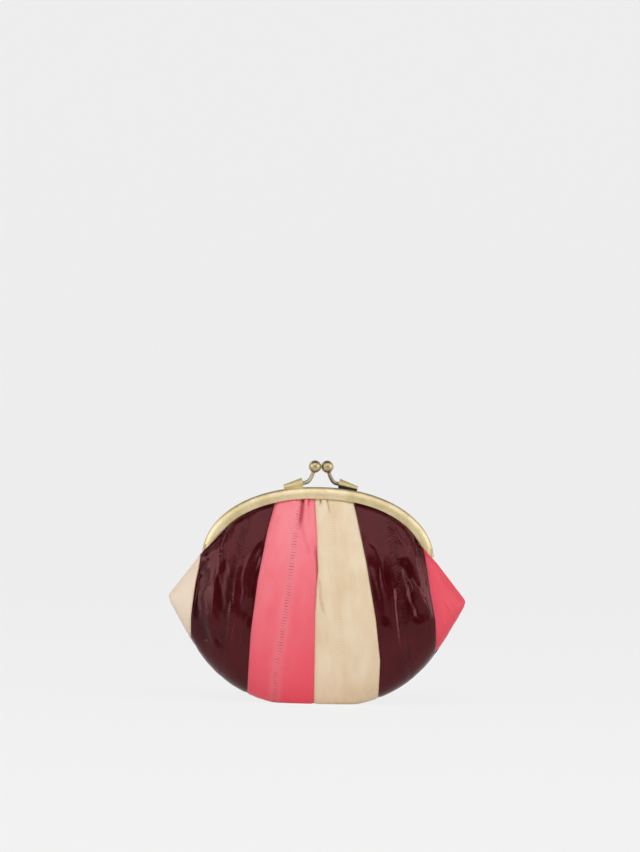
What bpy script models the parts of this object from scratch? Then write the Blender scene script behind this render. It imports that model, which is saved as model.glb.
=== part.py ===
# A small leather coin purse with a hinged metal frame and a two-ball kiss clasp.
# Metres, +Z up. The front faces -Y, and the origin is on the table, under the middle of the purse.
# Each side of the pouch is six strips of leather. Two bows, riveted together at their ends, grip
# the top edges of the leather and of the lining, with a paper cord wedged in beside them.

from math import acos, atan2, cos, hypot, pi, radians, sin

import bmesh
import bpy
from mathutils import Matrix, Vector

mm = 0.001

# Driving dimensions of the frame
hinge_height = 62.7 * mm        # hinge axis above the table
bow_half_width = 51.4 * mm      # outside of a bow, at its ends
bow_rise = 32.8 * mm            # hinge axis to the top of a bow
bow_power = 2.13                # exponent of the bow's superellipse, 2 would be an ellipse
band_height = 5.1 * mm          # a bow's channel as seen from the front
bow_depth = 4.6 * mm            # one bow from front to back
bow_gap = 0.4 * mm              # between the two bows when they are shut
bow_sheet = 0.6 * mm            # brass sheet that the channel is folded from
wall_camber = 0.3 * mm          # how far the front wall rounds back towards the channel's mouth

# Driving dimensions of the pouch
leather = 0.8 * mm              # leather strip with its backing
lining_cloth = 0.4 * mm
belly_depth = 15.5 * mm         # middle plane to the fullest point of one side
ear_reach = 66.2 * mm           # middle of the purse to the point where an ear's edges would meet
ear_height = 46.0 * mm          # that point above the table
floor_squash = 1.9 * mm         # how far the soft bottom is pressed flat by its own weight

# Driving dimensions of the clasp
ball_radius = 2.77 * mm
ball_spread = 5.44 * mm         # between the two balls' centres, across the purse
ball_rise = 9.1 * mm            # balls' centres above the top of the bows
clasp_shift = 0.6 * mm          # the clasp is soldered on a little right of the middle
wire_radius = 0.85 * mm

clearance = 0.3 * mm            # between two pieces that touch on the real purse
merge_distance = 0.001 * mm

front, back = -1, 1             # sides of the purse along Y
left, right = -1, 1             # sides of the purse along X, as seen from the front

# Places through one bow, measured from the middle plane towards that bow's outside
bow_inner = bow_gap / 2
bow_outer = bow_inner + bow_depth
leather_in_channel = bow_outer - wall_camber - bow_sheet - clearance     # outside of the gripped leather
leather_over_bow = bow_outer + clearance + leather      # outside of the leather where it hides a bow's end


def new_object(name, data, collection, material=None):
    obj = bpy.data.objects.new(name, data)
    collection.objects.link(obj)
    if material:
        data.materials.append(material)
    return obj


def new_material(name, colour, roughness, metallic=0.0):
    material = bpy.data.materials.new(name)
    material.use_nodes = True
    shader = material.node_tree.nodes["Principled BSDF"]
    shader.inputs["Base Color"].default_value = (*colour, 1.0)
    shader.inputs["Roughness"].default_value = roughness
    shader.inputs["Metallic"].default_value = metallic
    return material


def smooth(obj, sharp_degrees=35):
    obj.data.shade_smooth()
    obj.data.set_sharp_from_angle(angle=radians(sharp_degrees))


def mesh_from_curve(curve_obj, name, collection, material=None):
    """A curve object made a mesh object in the same place, with its caps welded on."""
    bpy.context.view_layer.update()
    evaluated = curve_obj.evaluated_get(bpy.context.evaluated_depsgraph_get())
    mesh = bpy.data.meshes.new_from_object(evaluated)
    bm = bmesh.new()
    bm.from_mesh(mesh)
    bmesh.ops.remove_doubles(bm, verts=bm.verts, dist=merge_distance)
    bm.to_mesh(mesh)
    bm.free()
    mesh.materials.clear()
    place = curve_obj.matrix_world.copy()
    bpy.data.objects.remove(curve_obj)
    made = new_object(name, mesh, collection, material)
    made.matrix_world = place
    return made


def poly_curve(name, points, collection, closed=False, flat=False):
    curve = bpy.data.curves.new(name, "CURVE")
    curve.dimensions = "2D" if flat else "3D"
    add_poly_spline(curve, points, closed)
    return new_object(name, curve, collection)


def add_poly_spline(curve, points, closed):
    spline = curve.splines.new("POLY")
    spline.points.add(len(points) - 1)
    for slot, point in zip(spline.points, points):
        slot.co = (*point, *[0.0] * (3 - len(point)), 1.0)
    spline.use_cyclic_u = closed


def boolean(obj, other, operation):
    modifier = obj.modifiers.new(operation.title(), "BOOLEAN")
    modifier.operation = operation
    modifier.object = other
    modifier.solver = "EXACT"


def solidify(obj, thickness, set_back=0.0):
    """Gives a skin its thickness on the inner side, starting set_back below the skin."""
    modifier = obj.modifiers.new("Thickness", "SOLIDIFY")
    modifier.thickness = thickness
    modifier.offset = -1 - 2 * set_back / thickness
    modifier.use_even_offset = False


def table_value(table, key):
    """Straight-line interpolation in a table of (key, value) rows, with the keys rising."""
    if key <= table[0][0]:
        return table[0][1]
    for (low, first), (high, second) in zip(table, table[1:]):
        if key <= high:
            return first + (second - first) * (key - low) / (high - low)
    return table[-1][1]


# The bows: a folded channel that runs along half a superellipse, with a pierced lug at each end

lug_radius = 2.5 * mm
lug_sheet = 1.0 * mm
lug_reach = 4.0 * mm            # how far a lug's shank runs up inside the channel
rivet_radius = 0.85 * mm
rivet_head_radius = 1.7 * mm
rivet_head_rise = 0.8 * mm
rivet_dome = 0.35 * mm          # how much the rivet head's rim is rounded down
lug_heel = 30.0                 # degrees that a lug's round edge runs on past its middle
channel_corner = 1.9 * mm       # rounding of the channel's outer shoulder
channel_back_corner = 0.7 * mm  # rounding of its shoulder towards the other bow
bow_segments = 30
wall_segments = 3
corner_segments = 3
round_segments = 24

channel_end = lug_radius + clearance    # hinge axis to the end of the channel
lug_outside = bow_half_width - bow_sheet - clearance
lug_pitch = lug_sheet + clearance       # from the front bow's lug to the back bow's, along the rivet


def bow_place(angle, inset=0.0):
    """A point (x, z) on a bow's outline at an angle, moved in towards the purse by inset."""
    x = bow_half_width * abs(cos(angle)) ** (2 / bow_power)
    z = bow_rise * sin(angle) ** (2 / bow_power)
    slope_x = x ** (bow_power - 1) / bow_half_width ** bow_power
    slope_z = z ** (bow_power - 1) / bow_rise ** bow_power
    length = hypot(slope_x, slope_z)
    x -= inset * slope_x / length
    z -= inset * slope_z / length
    return Vector((x if cos(angle) > 0 else -x, hinge_height + z))


def bow_angle_at(height):
    """The angle at which the bow's outline is this far above the hinge axis."""
    s = (height / bow_rise) ** (bow_power / 2)
    return atan2(s, (1 - s * s) ** 0.5)


def channel_profile():
    """The channel's outer skin: across is measured from its mouth outwards, and along from front to back."""
    half = bow_depth / 2
    points = []
    for i in range(wall_segments):
        share = i / wall_segments
        points.append((share * (band_height - channel_corner), half - wall_camber * (1 - share) ** 2))
    for radius, sign in ((channel_corner, 1), (channel_back_corner, -1)):
        arc = []
        for i in range(corner_segments + 1):
            turn = pi / 2 * i / corner_segments
            arc.append((band_height - radius + radius * sin(turn), sign * (half - radius + radius * cos(turn))))
        points += arc if sign > 0 else arc[::-1]
    points.append((0.0, -half))
    return points


def lug_mesh(side, x_side, helpers):
    """One pierced ear of a bow, which stands across the channel and hangs below its end."""
    hole_radius = rivet_radius + clearance / 2
    weld = bow_sheet / 2                      # the shank is sunk this far into the channel's walls
    near, far = side * (bow_inner + weld), side * (bow_outer - weld)
    neck = acos(abs(near) / lug_radius)
    shoulder = channel_end / 2
    outline = [(near, channel_end + lug_reach)]
    start = pi / 2 - side * (pi / 2 - neck)
    sweep = side * (neck + pi / 2 + radians(lug_heel))
    for i in range(round_segments + 1):
        turn = start + sweep * i / round_segments
        outline.append((lug_radius * cos(turn), lug_radius * sin(turn)))
    outline += [(far, shoulder), (far, channel_end + lug_reach)]
    hole = []
    for i in range(round_segments):
        turn = 2 * pi * i / round_segments
        hole.append((hole_radius * cos(turn), hole_radius * sin(turn)))
    name = f"lug_{side}_{x_side}"
    flat = poly_curve(name, outline, helpers, closed=True, flat=True)
    add_poly_spline(flat.data, hole, True)
    flat.data.fill_mode = "BOTH"
    flat.data.extrude = lug_sheet / 2
    step = 0.0 if side == front else lug_pitch
    x = x_side * (lug_outside - lug_sheet / 2 - step)
    flat.matrix_world = Matrix(((0, 0, 1, x), (1, 0, 0, 0), (0, 1, 0, hinge_height), (0, 0, 0, 1)))
    made = mesh_from_curve(flat, name, helpers)
    made.hide_render = True
    made.display_type = "WIRE"
    return made


def make_bow(name, side, parts, helpers, brass):
    first = bow_angle_at(channel_end)
    path = []
    for i in range(bow_segments + 1):
        angle = first + (pi - 2 * first) * i / bow_segments
        path.append(bow_place(angle, band_height))
    profile = poly_curve(name + "_profile", channel_profile(), helpers, flat=True)
    # In the path's own flat plane, X is across the purse and Y is up.
    sweep = poly_curve(name + "_path", path, helpers, flat=True)
    sweep.data.fill_mode = "NONE"
    sweep.data.bevel_mode = "OBJECT"
    sweep.data.bevel_object = profile
    y = side * (bow_inner + bow_depth / 2)
    sweep.matrix_world = Matrix(((1, 0, 0, 0), (0, 0, side, y), (0, 1, 0, 0), (0, 0, 0, 1)))
    bow = mesh_from_curve(sweep, name, parts, brass)
    bpy.data.objects.remove(profile)
    settle_skin(bow)
    smooth(bow)
    solidify(bow, bow_sheet)
    for x_side in (left, right):
        boolean(bow, lug_mesh(side, x_side, helpers), "UNION")
    return bow


def settle_skin(obj):
    """Bakes a skin's place into its mesh and turns its faces so that the top ones look up."""
    obj.data.transform(obj.matrix_world)
    obj.matrix_world = Matrix.Identity(4)
    bm = bmesh.new()
    bm.from_mesh(obj.data)
    bm.normal_update()
    top = max(bm.faces, key=lambda face: face.calc_center_median().z)
    if top.normal.z < 0:
        bmesh.ops.reverse_faces(bm, faces=bm.faces)
    bm.to_mesh(obj.data)
    bm.free()


def make_rivet(name, x_side, parts, brass):
    """A hinge pin with a domed head outside and a clinched tail inside, turned about the hinge axis."""
    outer = lug_outside + clearance
    inner = lug_outside - lug_sheet - lug_pitch - clearance
    profile = [
        (0.0, outer + rivet_head_rise),
        (rivet_head_radius - rivet_dome, outer + rivet_head_rise),
        (rivet_head_radius, outer + rivet_head_rise - rivet_dome),
        (rivet_head_radius, outer),
        (rivet_radius, outer),
        (rivet_radius, inner),
        (rivet_head_radius, inner),
        (rivet_head_radius, inner - rivet_head_rise + rivet_dome),
        (rivet_head_radius - rivet_dome, inner - rivet_head_rise),
        (0.0, inner - rivet_head_rise),
    ]
    mesh = bpy.data.meshes.new(name)
    points = [(radius, 0.0, along) for radius, along in profile]
    mesh.from_pydata(points, [(i, i + 1) for i in range(len(points) - 1)], [])
    rivet = new_object(name, mesh, parts, brass)
    rivet.location = (0.0, 0.0, hinge_height)
    rivet.rotation_euler = (0.0, x_side * pi / 2, 0.0)
    turned = rivet.modifiers.new("Turned", "SCREW")
    turned.steps = turned.render_steps = round_segments
    turned.use_merge_vertices = True
    turned.merge_threshold = merge_distance
    return rivet


# The kiss clasp: on each bow a sleeve of folded sheet that holds a bent wire with a ball on its end

sleeve_length = 8.6 * mm
sleeve_mouth_radius = 1.85 * mm
sleeve_tail_radius = 0.85 * mm
sleeve_sheet = 0.35 * mm
sleeve_tilt = 13.5              # degrees that a sleeve's axis climbs towards the middle
sleeve_mouth_spread = 8.0 * mm  # sleeve's mouth from the middle of the clasp
sleeve_seat_share = 0.84        # a sleeve's axis above its flat seat, of its radius
sleeve_ridge_share = 0.25       # how far the fold along its top is pinched up, of its radius
sleeve_ridge_power = 4          # how narrow that ridge is
wire_in_sleeve = 2.8 * mm
wire_run = 2.6 * mm             # level stretch of wire in front of the sleeve
wire_reach = 4.9 * mm           # how far below its ball the wire already climbs towards it
wire_lean = 16.0                # degrees off upright at the ball
socket_depth = 1.6 * mm         # wire sunk into its ball
wire_segments = 16
ball_segments = 20

sleeve_y = bow_inner + bow_depth / 2


def clasp_places(side):
    """Where one half of the clasp lies: the sleeve's mouth and axis, and the ball's centre."""
    x_side = left if side == front else right
    mouth_x = clasp_shift + x_side * sleeve_mouth_spread
    tilt = radians(sleeve_tilt)
    axis = Vector((-x_side * cos(tilt), 0.0, sin(tilt)))
    middle_x = mouth_x - axis.x * sleeve_length / 2
    seat = bow_top_at(middle_x) + clearance
    middle_radius = (sleeve_mouth_radius + sleeve_tail_radius) / 2
    middle = Vector((middle_x, side * sleeve_y, seat + middle_radius * sleeve_seat_share))
    spread = ball_spread / 2
    touch = 2 * ball_radius + clearance
    cross = (touch * touch - ball_spread * ball_spread) ** 0.5 / 2
    ball_height = hinge_height + bow_rise + ball_rise
    ball = Vector((clasp_shift + x_side * spread, side * cross, ball_height))
    return middle, axis, ball, x_side


def bow_top_at(x):
    return hinge_height + bow_rise * (1 - (abs(x) / bow_half_width) ** bow_power) ** (1 / bow_power)


def bezier(points, share):
    a, b, c, d = points
    rest = 1 - share
    return a * rest ** 3 + b * 3 * rest ** 2 * share + c * 3 * rest * share ** 2 + d * share ** 3


def make_clasp_half(side, parts, helpers, brass, wire_metal):
    name = "front" if side == front else "back"
    middle, axis, ball_place, x_side = clasp_places(side)

    bm = bmesh.new()
    bmesh.ops.create_cone(
        bm, cap_ends=False, segments=round_segments,
        radius1=sleeve_tail_radius, radius2=sleeve_mouth_radius, depth=sleeve_length,
    )
    # The sheet lies flat on the bow and is pinched up to a ridge along the top.
    for vert in bm.verts:
        radius = hypot(vert.co.x, vert.co.y)
        ridge = max(0.0, vert.co.y / radius) ** sleeve_ridge_power
        vert.co.x *= 1 - ridge * sleeve_ridge_share
        vert.co.y = max(-radius * sleeve_seat_share, vert.co.y + radius * ridge * sleeve_ridge_share)
    mesh = bpy.data.meshes.new(name + "_clasp_sleeve")
    bm.to_mesh(mesh)
    bm.free()
    sleeve = new_object(mesh.name, mesh, parts, brass)
    depthwise = Vector((0.0, 1.0, 0.0))
    upwards = axis.cross(depthwise) * -x_side
    turned = Matrix((upwards.cross(axis), upwards, axis)).transposed()
    sleeve.matrix_world = Matrix.Translation(middle) @ turned.to_4x4()
    smooth(sleeve)
    solidify(sleeve, sleeve_sheet)

    mouth = middle + axis * (sleeve_length / 2)
    lean = radians(wire_lean)
    into_ball = Vector((-x_side * sin(lean), 0.0, cos(lean)))
    inward = Vector((-x_side, 0.0, 0.0))
    end = ball_place - into_ball * (ball_radius - socket_depth)
    route = [mouth - axis * wire_in_sleeve, mouth - axis * (wire_in_sleeve / 2)]
    handles = (mouth, mouth + inward * wire_run, end - into_ball * wire_reach, end)
    route += [bezier(handles, i / wire_segments) for i in range(wire_segments + 1)]
    curve = poly_curve(name + "_clasp_wire", route, helpers)
    curve.data.bevel_depth = wire_radius
    curve.data.bevel_resolution = 2
    curve.data.use_fill_caps = True
    wire = mesh_from_curve(curve, name + "_clasp_wire", parts, wire_metal)
    smooth(wire)

    bm = bmesh.new()
    bmesh.ops.create_uvsphere(bm, u_segments=ball_segments, v_segments=ball_segments // 2, radius=ball_radius)
    mesh = bpy.data.meshes.new(name + "_clasp_ball")
    bm.to_mesh(mesh)
    bm.free()
    ball = new_object(mesh.name, mesh, parts, brass)
    ball.location = ball_place
    smooth(ball)
    bm = bmesh.new()
    bmesh.ops.create_cone(
        bm, cap_ends=True, segments=round_segments,
        radius1=wire_radius + clearance, radius2=wire_radius + clearance, depth=ball_radius * 2,
    )
    mesh = bpy.data.meshes.new(name + "_ball_socket")
    bm.to_mesh(mesh)
    bm.free()
    socket = new_object(mesh.name, mesh, helpers)
    floor_of_socket = end + into_ball * clearance
    socket.location = floor_of_socket - into_ball * ball_radius
    socket.rotation_euler = into_ball.to_track_quat("Z", "Y").to_euler()
    socket.hide_render = True
    socket.display_type = "WIRE"
    boolean(ball, socket, "DIFFERENCE")


# The pouch. A place on one side of it is (strip, rise): strip runs from 0 at the ear's point over
# 1 and 2, the seams beside the ear strip and the inner strip, to 3, the middle seam. rise runs
# from 0 at the bottom seam to 1 at the top edge, and passes mouth_share where it enters the bow.

bottom_pull = 43.5 * mm         # length of the flat bottom's tangent, from the middle outwards
flank_pull = 26.3 * mm          # length of the flank's tangent, from the ear's point down
flank_slope = 61.4              # degrees that the flank climbs
flank_power = 0.6               # how full the belly stays towards its flanks
neck_power = 1.5                # how soon the belly draws in below the bow
seam_bow = 2.6 * mm             # how far the belly pushes the outer seams apart
belly_share = 0.38              # height of the fullest point, of the side's height
bottom_power = 2.5              # roundness of the lower half's section
side_power = 2.6                # how late the belly thins towards the ears
seam_gap = 0.3 * mm             # between two neighbouring strips, or the two sides of the pouch
channel_insert = 2.7 * mm       # leather's top edge above the channel's mouth
mouth_drop = 0.7 * mm           # leather's top edge below the mouth where it comes out of the channel
cover_reach = 1.3 * mm          # leather's top corner beyond the outside of a bow's end
cover_height = 2.1 * mm         # that corner above the hinge axis
mouth_share = 0.88
foot_shares = ((0, 1.0), (1, 0.71), (2, 0.28), (3, 0.0))        # where seams meet the bottom curve
flat_shares = ((0, 1.0), (1, 0.6), (2, 0.15), (3, 0.0))         # how flat the two sides meet there
top_angles = ((1.12, 20.0), (1.25, 25.5), (1.42, 34.0), (2, 71.0), (3, 90.0))   # degrees round the bow
grip_shares = ((1.25, 0.0), (1.33, 1.0))                        # how far the top edge is in the channel
tuck_shares = ((0.4, 0.0), (0.6, 0.15), (0.75, 0.42), (0.88, 0.76), (1.0, 1.0))
cover_shares = ((1.12, 1.0), (1.185, 0.5), (1.25, 0.0))         # top edge lies in front of the bow
ear_columns = (0.045, 0.2, 0.4, 0.6, 0.75, 0.88, 1.0)           # the ear's point is cut off blunt
outer_columns = (1.0, 1.06, 1.12, 1.185, 1.25, 1.33, 1.42, 1.55, 1.7, 1.85, 2.0)
inner_columns = (2.0, 2.25, 2.5, 2.75, 3.0)
body_rows = 10
lip_rows = 2


def edge_depth(strip):
    """Outside of the leather at the seam between the two sides, from the middle plane."""
    return seam_gap / 2 + leather * table_value(flat_shares, strip)


def bottom_curve(share):
    """The bottom seam from the middle (0) to the ear's point (1), as seen from the front."""
    slope = radians(flank_slope)
    tip = Vector((ear_reach, ear_height))
    handles = (
        Vector((0.0, 0.0)), Vector((bottom_pull, 0.0)),
        tip - flank_pull * Vector((cos(slope), sin(slope))), tip,
    )
    return bezier(handles, share)


def top_edge(strip):
    """(foot, top, depth) of the leather's upper edge, which the bow grips from the last of the
    leaving angles on. Foot and top are seen from the front."""
    corner = Vector((bow_half_width + cover_reach, hinge_height + cover_height))
    drop = Vector((0.0, mouth_drop))
    leave, leave_angle = top_angles[0]
    if strip < 1:
        top = Vector((ear_reach, ear_height)).lerp(corner, strip)
        flat = seam_gap / 2 + leather
        depth = flat + table_value(tuck_shares, strip) * (leather_over_bow - flat)
        return top - drop * strip, top, depth
    if strip < leave:
        share = (strip - 1) / (leave - 1)
        top = corner.lerp(bow_place(radians(leave_angle), band_height + mouth_drop), share)
        foot = (corner - drop).lerp(bow_place(radians(leave_angle), band_height + 2 * mouth_drop), share)
        return foot, top, leather_over_bow
    angle = radians(table_value(top_angles, strip))
    grip = table_value(grip_shares, strip)
    foot = bow_place(angle, band_height + mouth_drop * (2 - grip))
    top = bow_place(angle, band_height + mouth_drop - grip * (mouth_drop + channel_insert))
    cover = table_value(cover_shares, strip)
    return foot, top, leather_in_channel + cover * (leather_over_bow - leather_in_channel)


def pouch_place(strip, rise):
    """Outside of the leather at (strip, rise), on the side where X and the depth are both positive."""
    foot = bottom_curve(table_value(foot_shares, strip))
    grip_foot, top, top_depth = top_edge(strip)
    if rise > mouth_share:
        place = grip_foot.lerp(top, (rise - mouth_share) / (1 - mouth_share))
        return Vector((place.x, top_depth, place.y))
    turn = pi * rise / mouth_share
    belly_x = foot.x + (grip_foot.x - foot.x) * belly_share
    fullness = max(0.0, 1 - (belly_x / ear_reach) ** side_power) ** flank_power
    edge = edge_depth(strip)
    full_depth = edge + (belly_depth - edge) * fullness
    if turn < pi / 2:
        height = belly_share * (1 - cos(turn) ** (2 / bottom_power))
        depth = edge + (full_depth - edge) * sin(turn) ** (2 / bottom_power)
    else:
        height = belly_share - (1 - belly_share) * cos(turn)
        depth = top_depth + (full_depth - top_depth) * sin(turn) ** neck_power
    place = foot.lerp(grip_foot, height)
    place.x += seam_bow * sin(pi * height) * sin(pi * min(1.0, foot.x / ear_reach)) ** 2
    droop = floor_squash * max(0.0, 1 - place.y / ear_height) ** 2
    return Vector((place.x, depth, max(0.0, place.y - droop)))


def skin(name, columns, rows, place_of, x_side, side, parts, material):
    """A grid bent to place_of(column, row share), with its outside facing away from the purse."""
    bm = bmesh.new()
    bmesh.ops.create_grid(bm, x_segments=len(columns) - 1, y_segments=rows, size=1)
    for vert in bm.verts:
        column = columns[round((vert.co.x + 1) / 2 * (len(columns) - 1))]
        place = place_of(column, (vert.co.y + 1) / 2)
        vert.co = (x_side * place.x, side * place.y, place.z)
    # The grid faces outwards where both X and Y keep their signs, or both are mirrored.
    if x_side * side < 0:
        bmesh.ops.reverse_faces(bm, faces=bm.faces)
    mesh = bpy.data.meshes.new(name)
    bm.to_mesh(mesh)
    bm.free()
    obj = new_object(name, mesh, parts, material)
    smooth(obj, 60)
    return obj


def row_rise(share, top=1.0, lip=1 - mouth_share):
    """Spreads the rows of a grid up to its top: the last of them share a narrow lip."""
    step = share * (body_rows + lip_rows)
    if step <= body_rows:
        return (top - lip) * step / body_rows
    return top - lip + lip * (step - body_rows) / lip_rows


def with_seam_gap(columns, first, last):
    """Draws a strip's outer columns in, so that it stays clear of its neighbours."""
    drawn = list(columns)
    # Least width of an ear strip, or of the three strips that share the bow's half width
    narrowest = (ear_reach - bow_half_width) if columns[0] < 1 else bow_half_width / 3
    if first:
        drawn[0] += seam_gap / 2 / narrowest
    if last:
        drawn[-1] -= seam_gap / 2 / narrowest
    return tuple(drawn)


def make_strip(name, columns, x_side, side, parts, material):
    drawn = with_seam_gap(columns, columns[0] >= 1, True)

    def place_of(column, share):
        return pouch_place(column, row_rise(share))

    strip = skin(name, drawn, body_rows + lip_rows, place_of, x_side, side, parts, material)
    solidify(strip, leather)
    return strip


# The cords that wedge the leather and the lining in the bows' channels

cord_radius = 0.35 * mm
cord_seat = 2.2 * mm            # cord's middle above the channel's mouth
cord_end_gap = 1.2 * mm         # between the cord's end and the lug's shank
cord_segments = 24


def make_cord(name, side, parts, helpers, paper):
    first = bow_angle_at(channel_end + lug_reach + cord_end_gap)
    route = []
    for i in range(cord_segments + 1):
        angle = first + (pi - 2 * first) * i / cord_segments
        x, z = bow_place(angle, band_height - cord_seat)
        route.append((x, side * (bow_inner + bow_sheet + clearance + cord_radius), z))
    curve = poly_curve(name, route, helpers)
    curve.data.bevel_depth = cord_radius
    curve.data.bevel_resolution = 1
    curve.data.use_fill_caps = True
    cord = mesh_from_curve(curve, name, parts, paper)
    smooth(cord)
    return cord


# The lining lies inside the leather and is gripped with it. Near the hinges it passes below the lugs.

lining_columns = (0.88, 1.0, 1.12, 1.25, *outer_columns[5:-1], *inner_columns)
lining_foot_share = 0.15        # of the first row, left free at the bottom seam
lining_ease = 0.8 * mm          # how far the lining hangs clear of the belly
lining_ease_power = 0.5         # how soon it does so above the bottom seam
lining_top_shares = ((0.88, 0.42), (1.0, 0.45), (1.12, 0.5), (1.25, 0.58), (1.42, 0.74), (1.55, 0.88), (1.7, 1.0))
lining_free_shares = ((1.55, 0.6), (1.7, 0.0))   # the ease that is left where it isn't gripped
lining_lip_shares = ((1.55, 0.03), (1.7, 1 - mouth_share))


def make_lining(name, side, parts, cloth):
    def place_of(column, share):
        strip = column if column <= 3 else 6 - column
        top = table_value(lining_top_shares, strip)
        lip = table_value(lining_lip_shares, strip)
        rise = row_rise(share, top, lip)
        place = pouch_place(strip, rise)
        if share == 0:
            next_place = pouch_place(strip, row_rise(1 / (body_rows + lip_rows), top, lip))
            place = place.lerp(next_place, lining_foot_share)
        eased = max(0.0, sin(pi * rise / mouth_share)) ** lining_ease_power
        place.y -= lining_ease * max(eased, table_value(lining_free_shares, strip))
        if column > 3:
            place.x = -place.x
        return place

    mirrored = tuple(6 - column for column in reversed(lining_columns[:-1]))
    lining = skin(name, lining_columns + mirrored, body_rows + lip_rows, place_of, right, side, parts, cloth)
    solidify(lining, lining_cloth, set_back=leather + clearance)
    return lining


def main():
    for obj in list(bpy.data.objects):
        bpy.data.objects.remove(obj)
    parts = bpy.data.collections.new("coin_purse")
    helpers = bpy.data.collections.new("cutters")
    for collection in (parts, helpers):
        bpy.context.scene.collection.children.link(collection)

    brass = new_material("antique_brass", (0.56, 0.45, 0.26), 0.34, 1.0)
    wire_metal = new_material("worn_brass_wire", (0.47, 0.41, 0.31), 0.38, 1.0)
    cream = new_material("cream_leather", (0.79, 0.63, 0.42), 0.34)
    burgundy = new_material("burgundy_leather", (0.055, 0.008, 0.011), 0.22)
    pink = new_material("pink_leather", (0.84, 0.17, 0.21), 0.34)
    cotton = new_material("cotton_lining", (0.60, 0.50, 0.38), 0.9)
    paper = new_material("paper_cord", (0.62, 0.54, 0.42), 0.95)

    strips = (
        ("left_ear_strip", ear_columns, left),
        ("left_outer_strip", outer_columns, left),
        ("left_inner_strip", inner_columns, left),
        ("right_inner_strip", inner_columns, right),
        ("right_outer_strip", outer_columns, right),
        ("right_ear_strip", ear_columns, right),
    )
    # Both sides are cut alike, so each shows this order from left to right to who looks at it.
    order = (cream, burgundy, pink, cream, burgundy, pink)
    for side, word in ((front, "front"), (back, "back")):
        make_bow(word + "_frame_bow", side, parts, helpers, brass)
        make_clasp_half(side, parts, helpers, brass, wire_metal)
        make_cord(word + "_channel_cord", side, parts, helpers, paper)
        for (name, columns, x_side), material in zip(strips, order if side == front else order[::-1]):
            make_strip(f"{word}_{name}", columns, x_side, side, parts, material)
        make_lining(word + "_lining", side, parts, cotton)
    make_rivet("left_hinge_rivet", left, parts, brass)
    make_rivet("right_hinge_rivet", right, parts, brass)


main()
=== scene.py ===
from functools import partial
from math import cos, pi, radians, sin

import bpy
import numpy as np
from mathutils import Matrix, Vector


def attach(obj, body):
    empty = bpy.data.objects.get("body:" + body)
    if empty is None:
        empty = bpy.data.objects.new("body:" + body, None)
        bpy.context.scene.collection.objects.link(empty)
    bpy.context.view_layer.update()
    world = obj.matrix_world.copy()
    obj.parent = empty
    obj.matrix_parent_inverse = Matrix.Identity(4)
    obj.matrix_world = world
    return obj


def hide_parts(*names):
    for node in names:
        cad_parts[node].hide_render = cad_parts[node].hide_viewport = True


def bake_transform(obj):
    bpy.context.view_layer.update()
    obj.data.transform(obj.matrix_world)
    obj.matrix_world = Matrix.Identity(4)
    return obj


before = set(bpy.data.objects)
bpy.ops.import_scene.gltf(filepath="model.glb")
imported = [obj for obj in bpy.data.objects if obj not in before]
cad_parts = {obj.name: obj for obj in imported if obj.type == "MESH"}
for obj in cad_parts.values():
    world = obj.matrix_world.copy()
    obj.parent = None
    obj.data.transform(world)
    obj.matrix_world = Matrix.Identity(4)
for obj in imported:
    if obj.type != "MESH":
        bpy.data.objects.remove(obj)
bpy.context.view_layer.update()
mm = 0.001
front, back = "front", "back"
outward = {front: -1, back: 1}     # along y


def selectOnly(piece):
    bpy.ops.object.select_all(action="DESELECT")
    piece.select_set(True)
    bpy.context.view_layer.objects.active = piece


def newPiece(name, operator, location=(0, 0, 0), **settings):
    bpy.ops.object.select_all(action="DESELECT")
    operator(location=location, **settings)
    piece = bpy.context.object
    piece.name = piece.data.name = name
    return piece


def applyAll(piece):
    selectOnly(piece)
    for modifier in list(piece.modifiers):
        bpy.ops.object.modifier_apply(modifier=modifier.name)


def applyPlace(piece):
    selectOnly(piece)
    bpy.ops.object.transform_apply(location=True, rotation=True, scale=True)


def smoothBy(piece, degrees):
    selectOnly(piece)
    bpy.ops.object.shade_smooth_by_angle(angle=radians(degrees))


# runs the steps in edit mode with the whole piece selected
def editWhole(piece, *steps):
    selectOnly(piece)
    bpy.ops.object.mode_set(mode="EDIT")
    bpy.ops.mesh.select_all(action="SELECT")
    for step, settings in steps:
        step(**settings)
    bpy.ops.object.mode_set(mode="OBJECT")


def outwardNormals(piece):
    editWhole(piece, (bpy.ops.mesh.remove_doubles, dict(threshold=0.001 * mm)),
              (bpy.ops.mesh.normals_make_consistent, dict(inside=False)))


def asMesh(piece):
    selectOnly(piece)
    bpy.ops.object.convert(target="MESH")
    applyPlace(piece)


def dress(piece, material):
    piece.data.materials.clear()
    piece.data.materials.append(material)


def linear(hexText):
    shades = [int(hexText[i:i + 2], 16) / 255 for i in (1, 3, 5)]
    return [*(s / 12.92 if s <= 0.04045 else ((s + 0.055) / 1.055) ** 2.4 for s in shades), 1.0]


# inputs go to the node's sockets in order, or by name or number
def fill(node, inputs):
    for key, value in inputs.items() if isinstance(inputs, dict) else enumerate(inputs):
        if isinstance(value, bpy.types.NodeSocket):
            node.id_data.links.new(value, node.inputs[key])
        else:
            node.inputs[key].default_value = value


def addTo(tree, kind, inputs=(), output=0, **settings):
    node = tree.nodes.new("ShaderNode" + kind)
    for key, value in settings.items():
        setattr(node, key, value)
    fill(node, inputs)
    return node.outputs[output]


def newMaterial(name, inputs):
    material = bpy.data.materials.new(name)
    material.use_nodes = True
    shader = material.node_tree.nodes["Principled BSDF"]
    fill(shader, inputs)
    return material, shader, partial(addTo, material.node_tree)


# a wave texture's scale for one band each step
def bandScale(step):
    return 2 * pi / 20 / step


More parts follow.
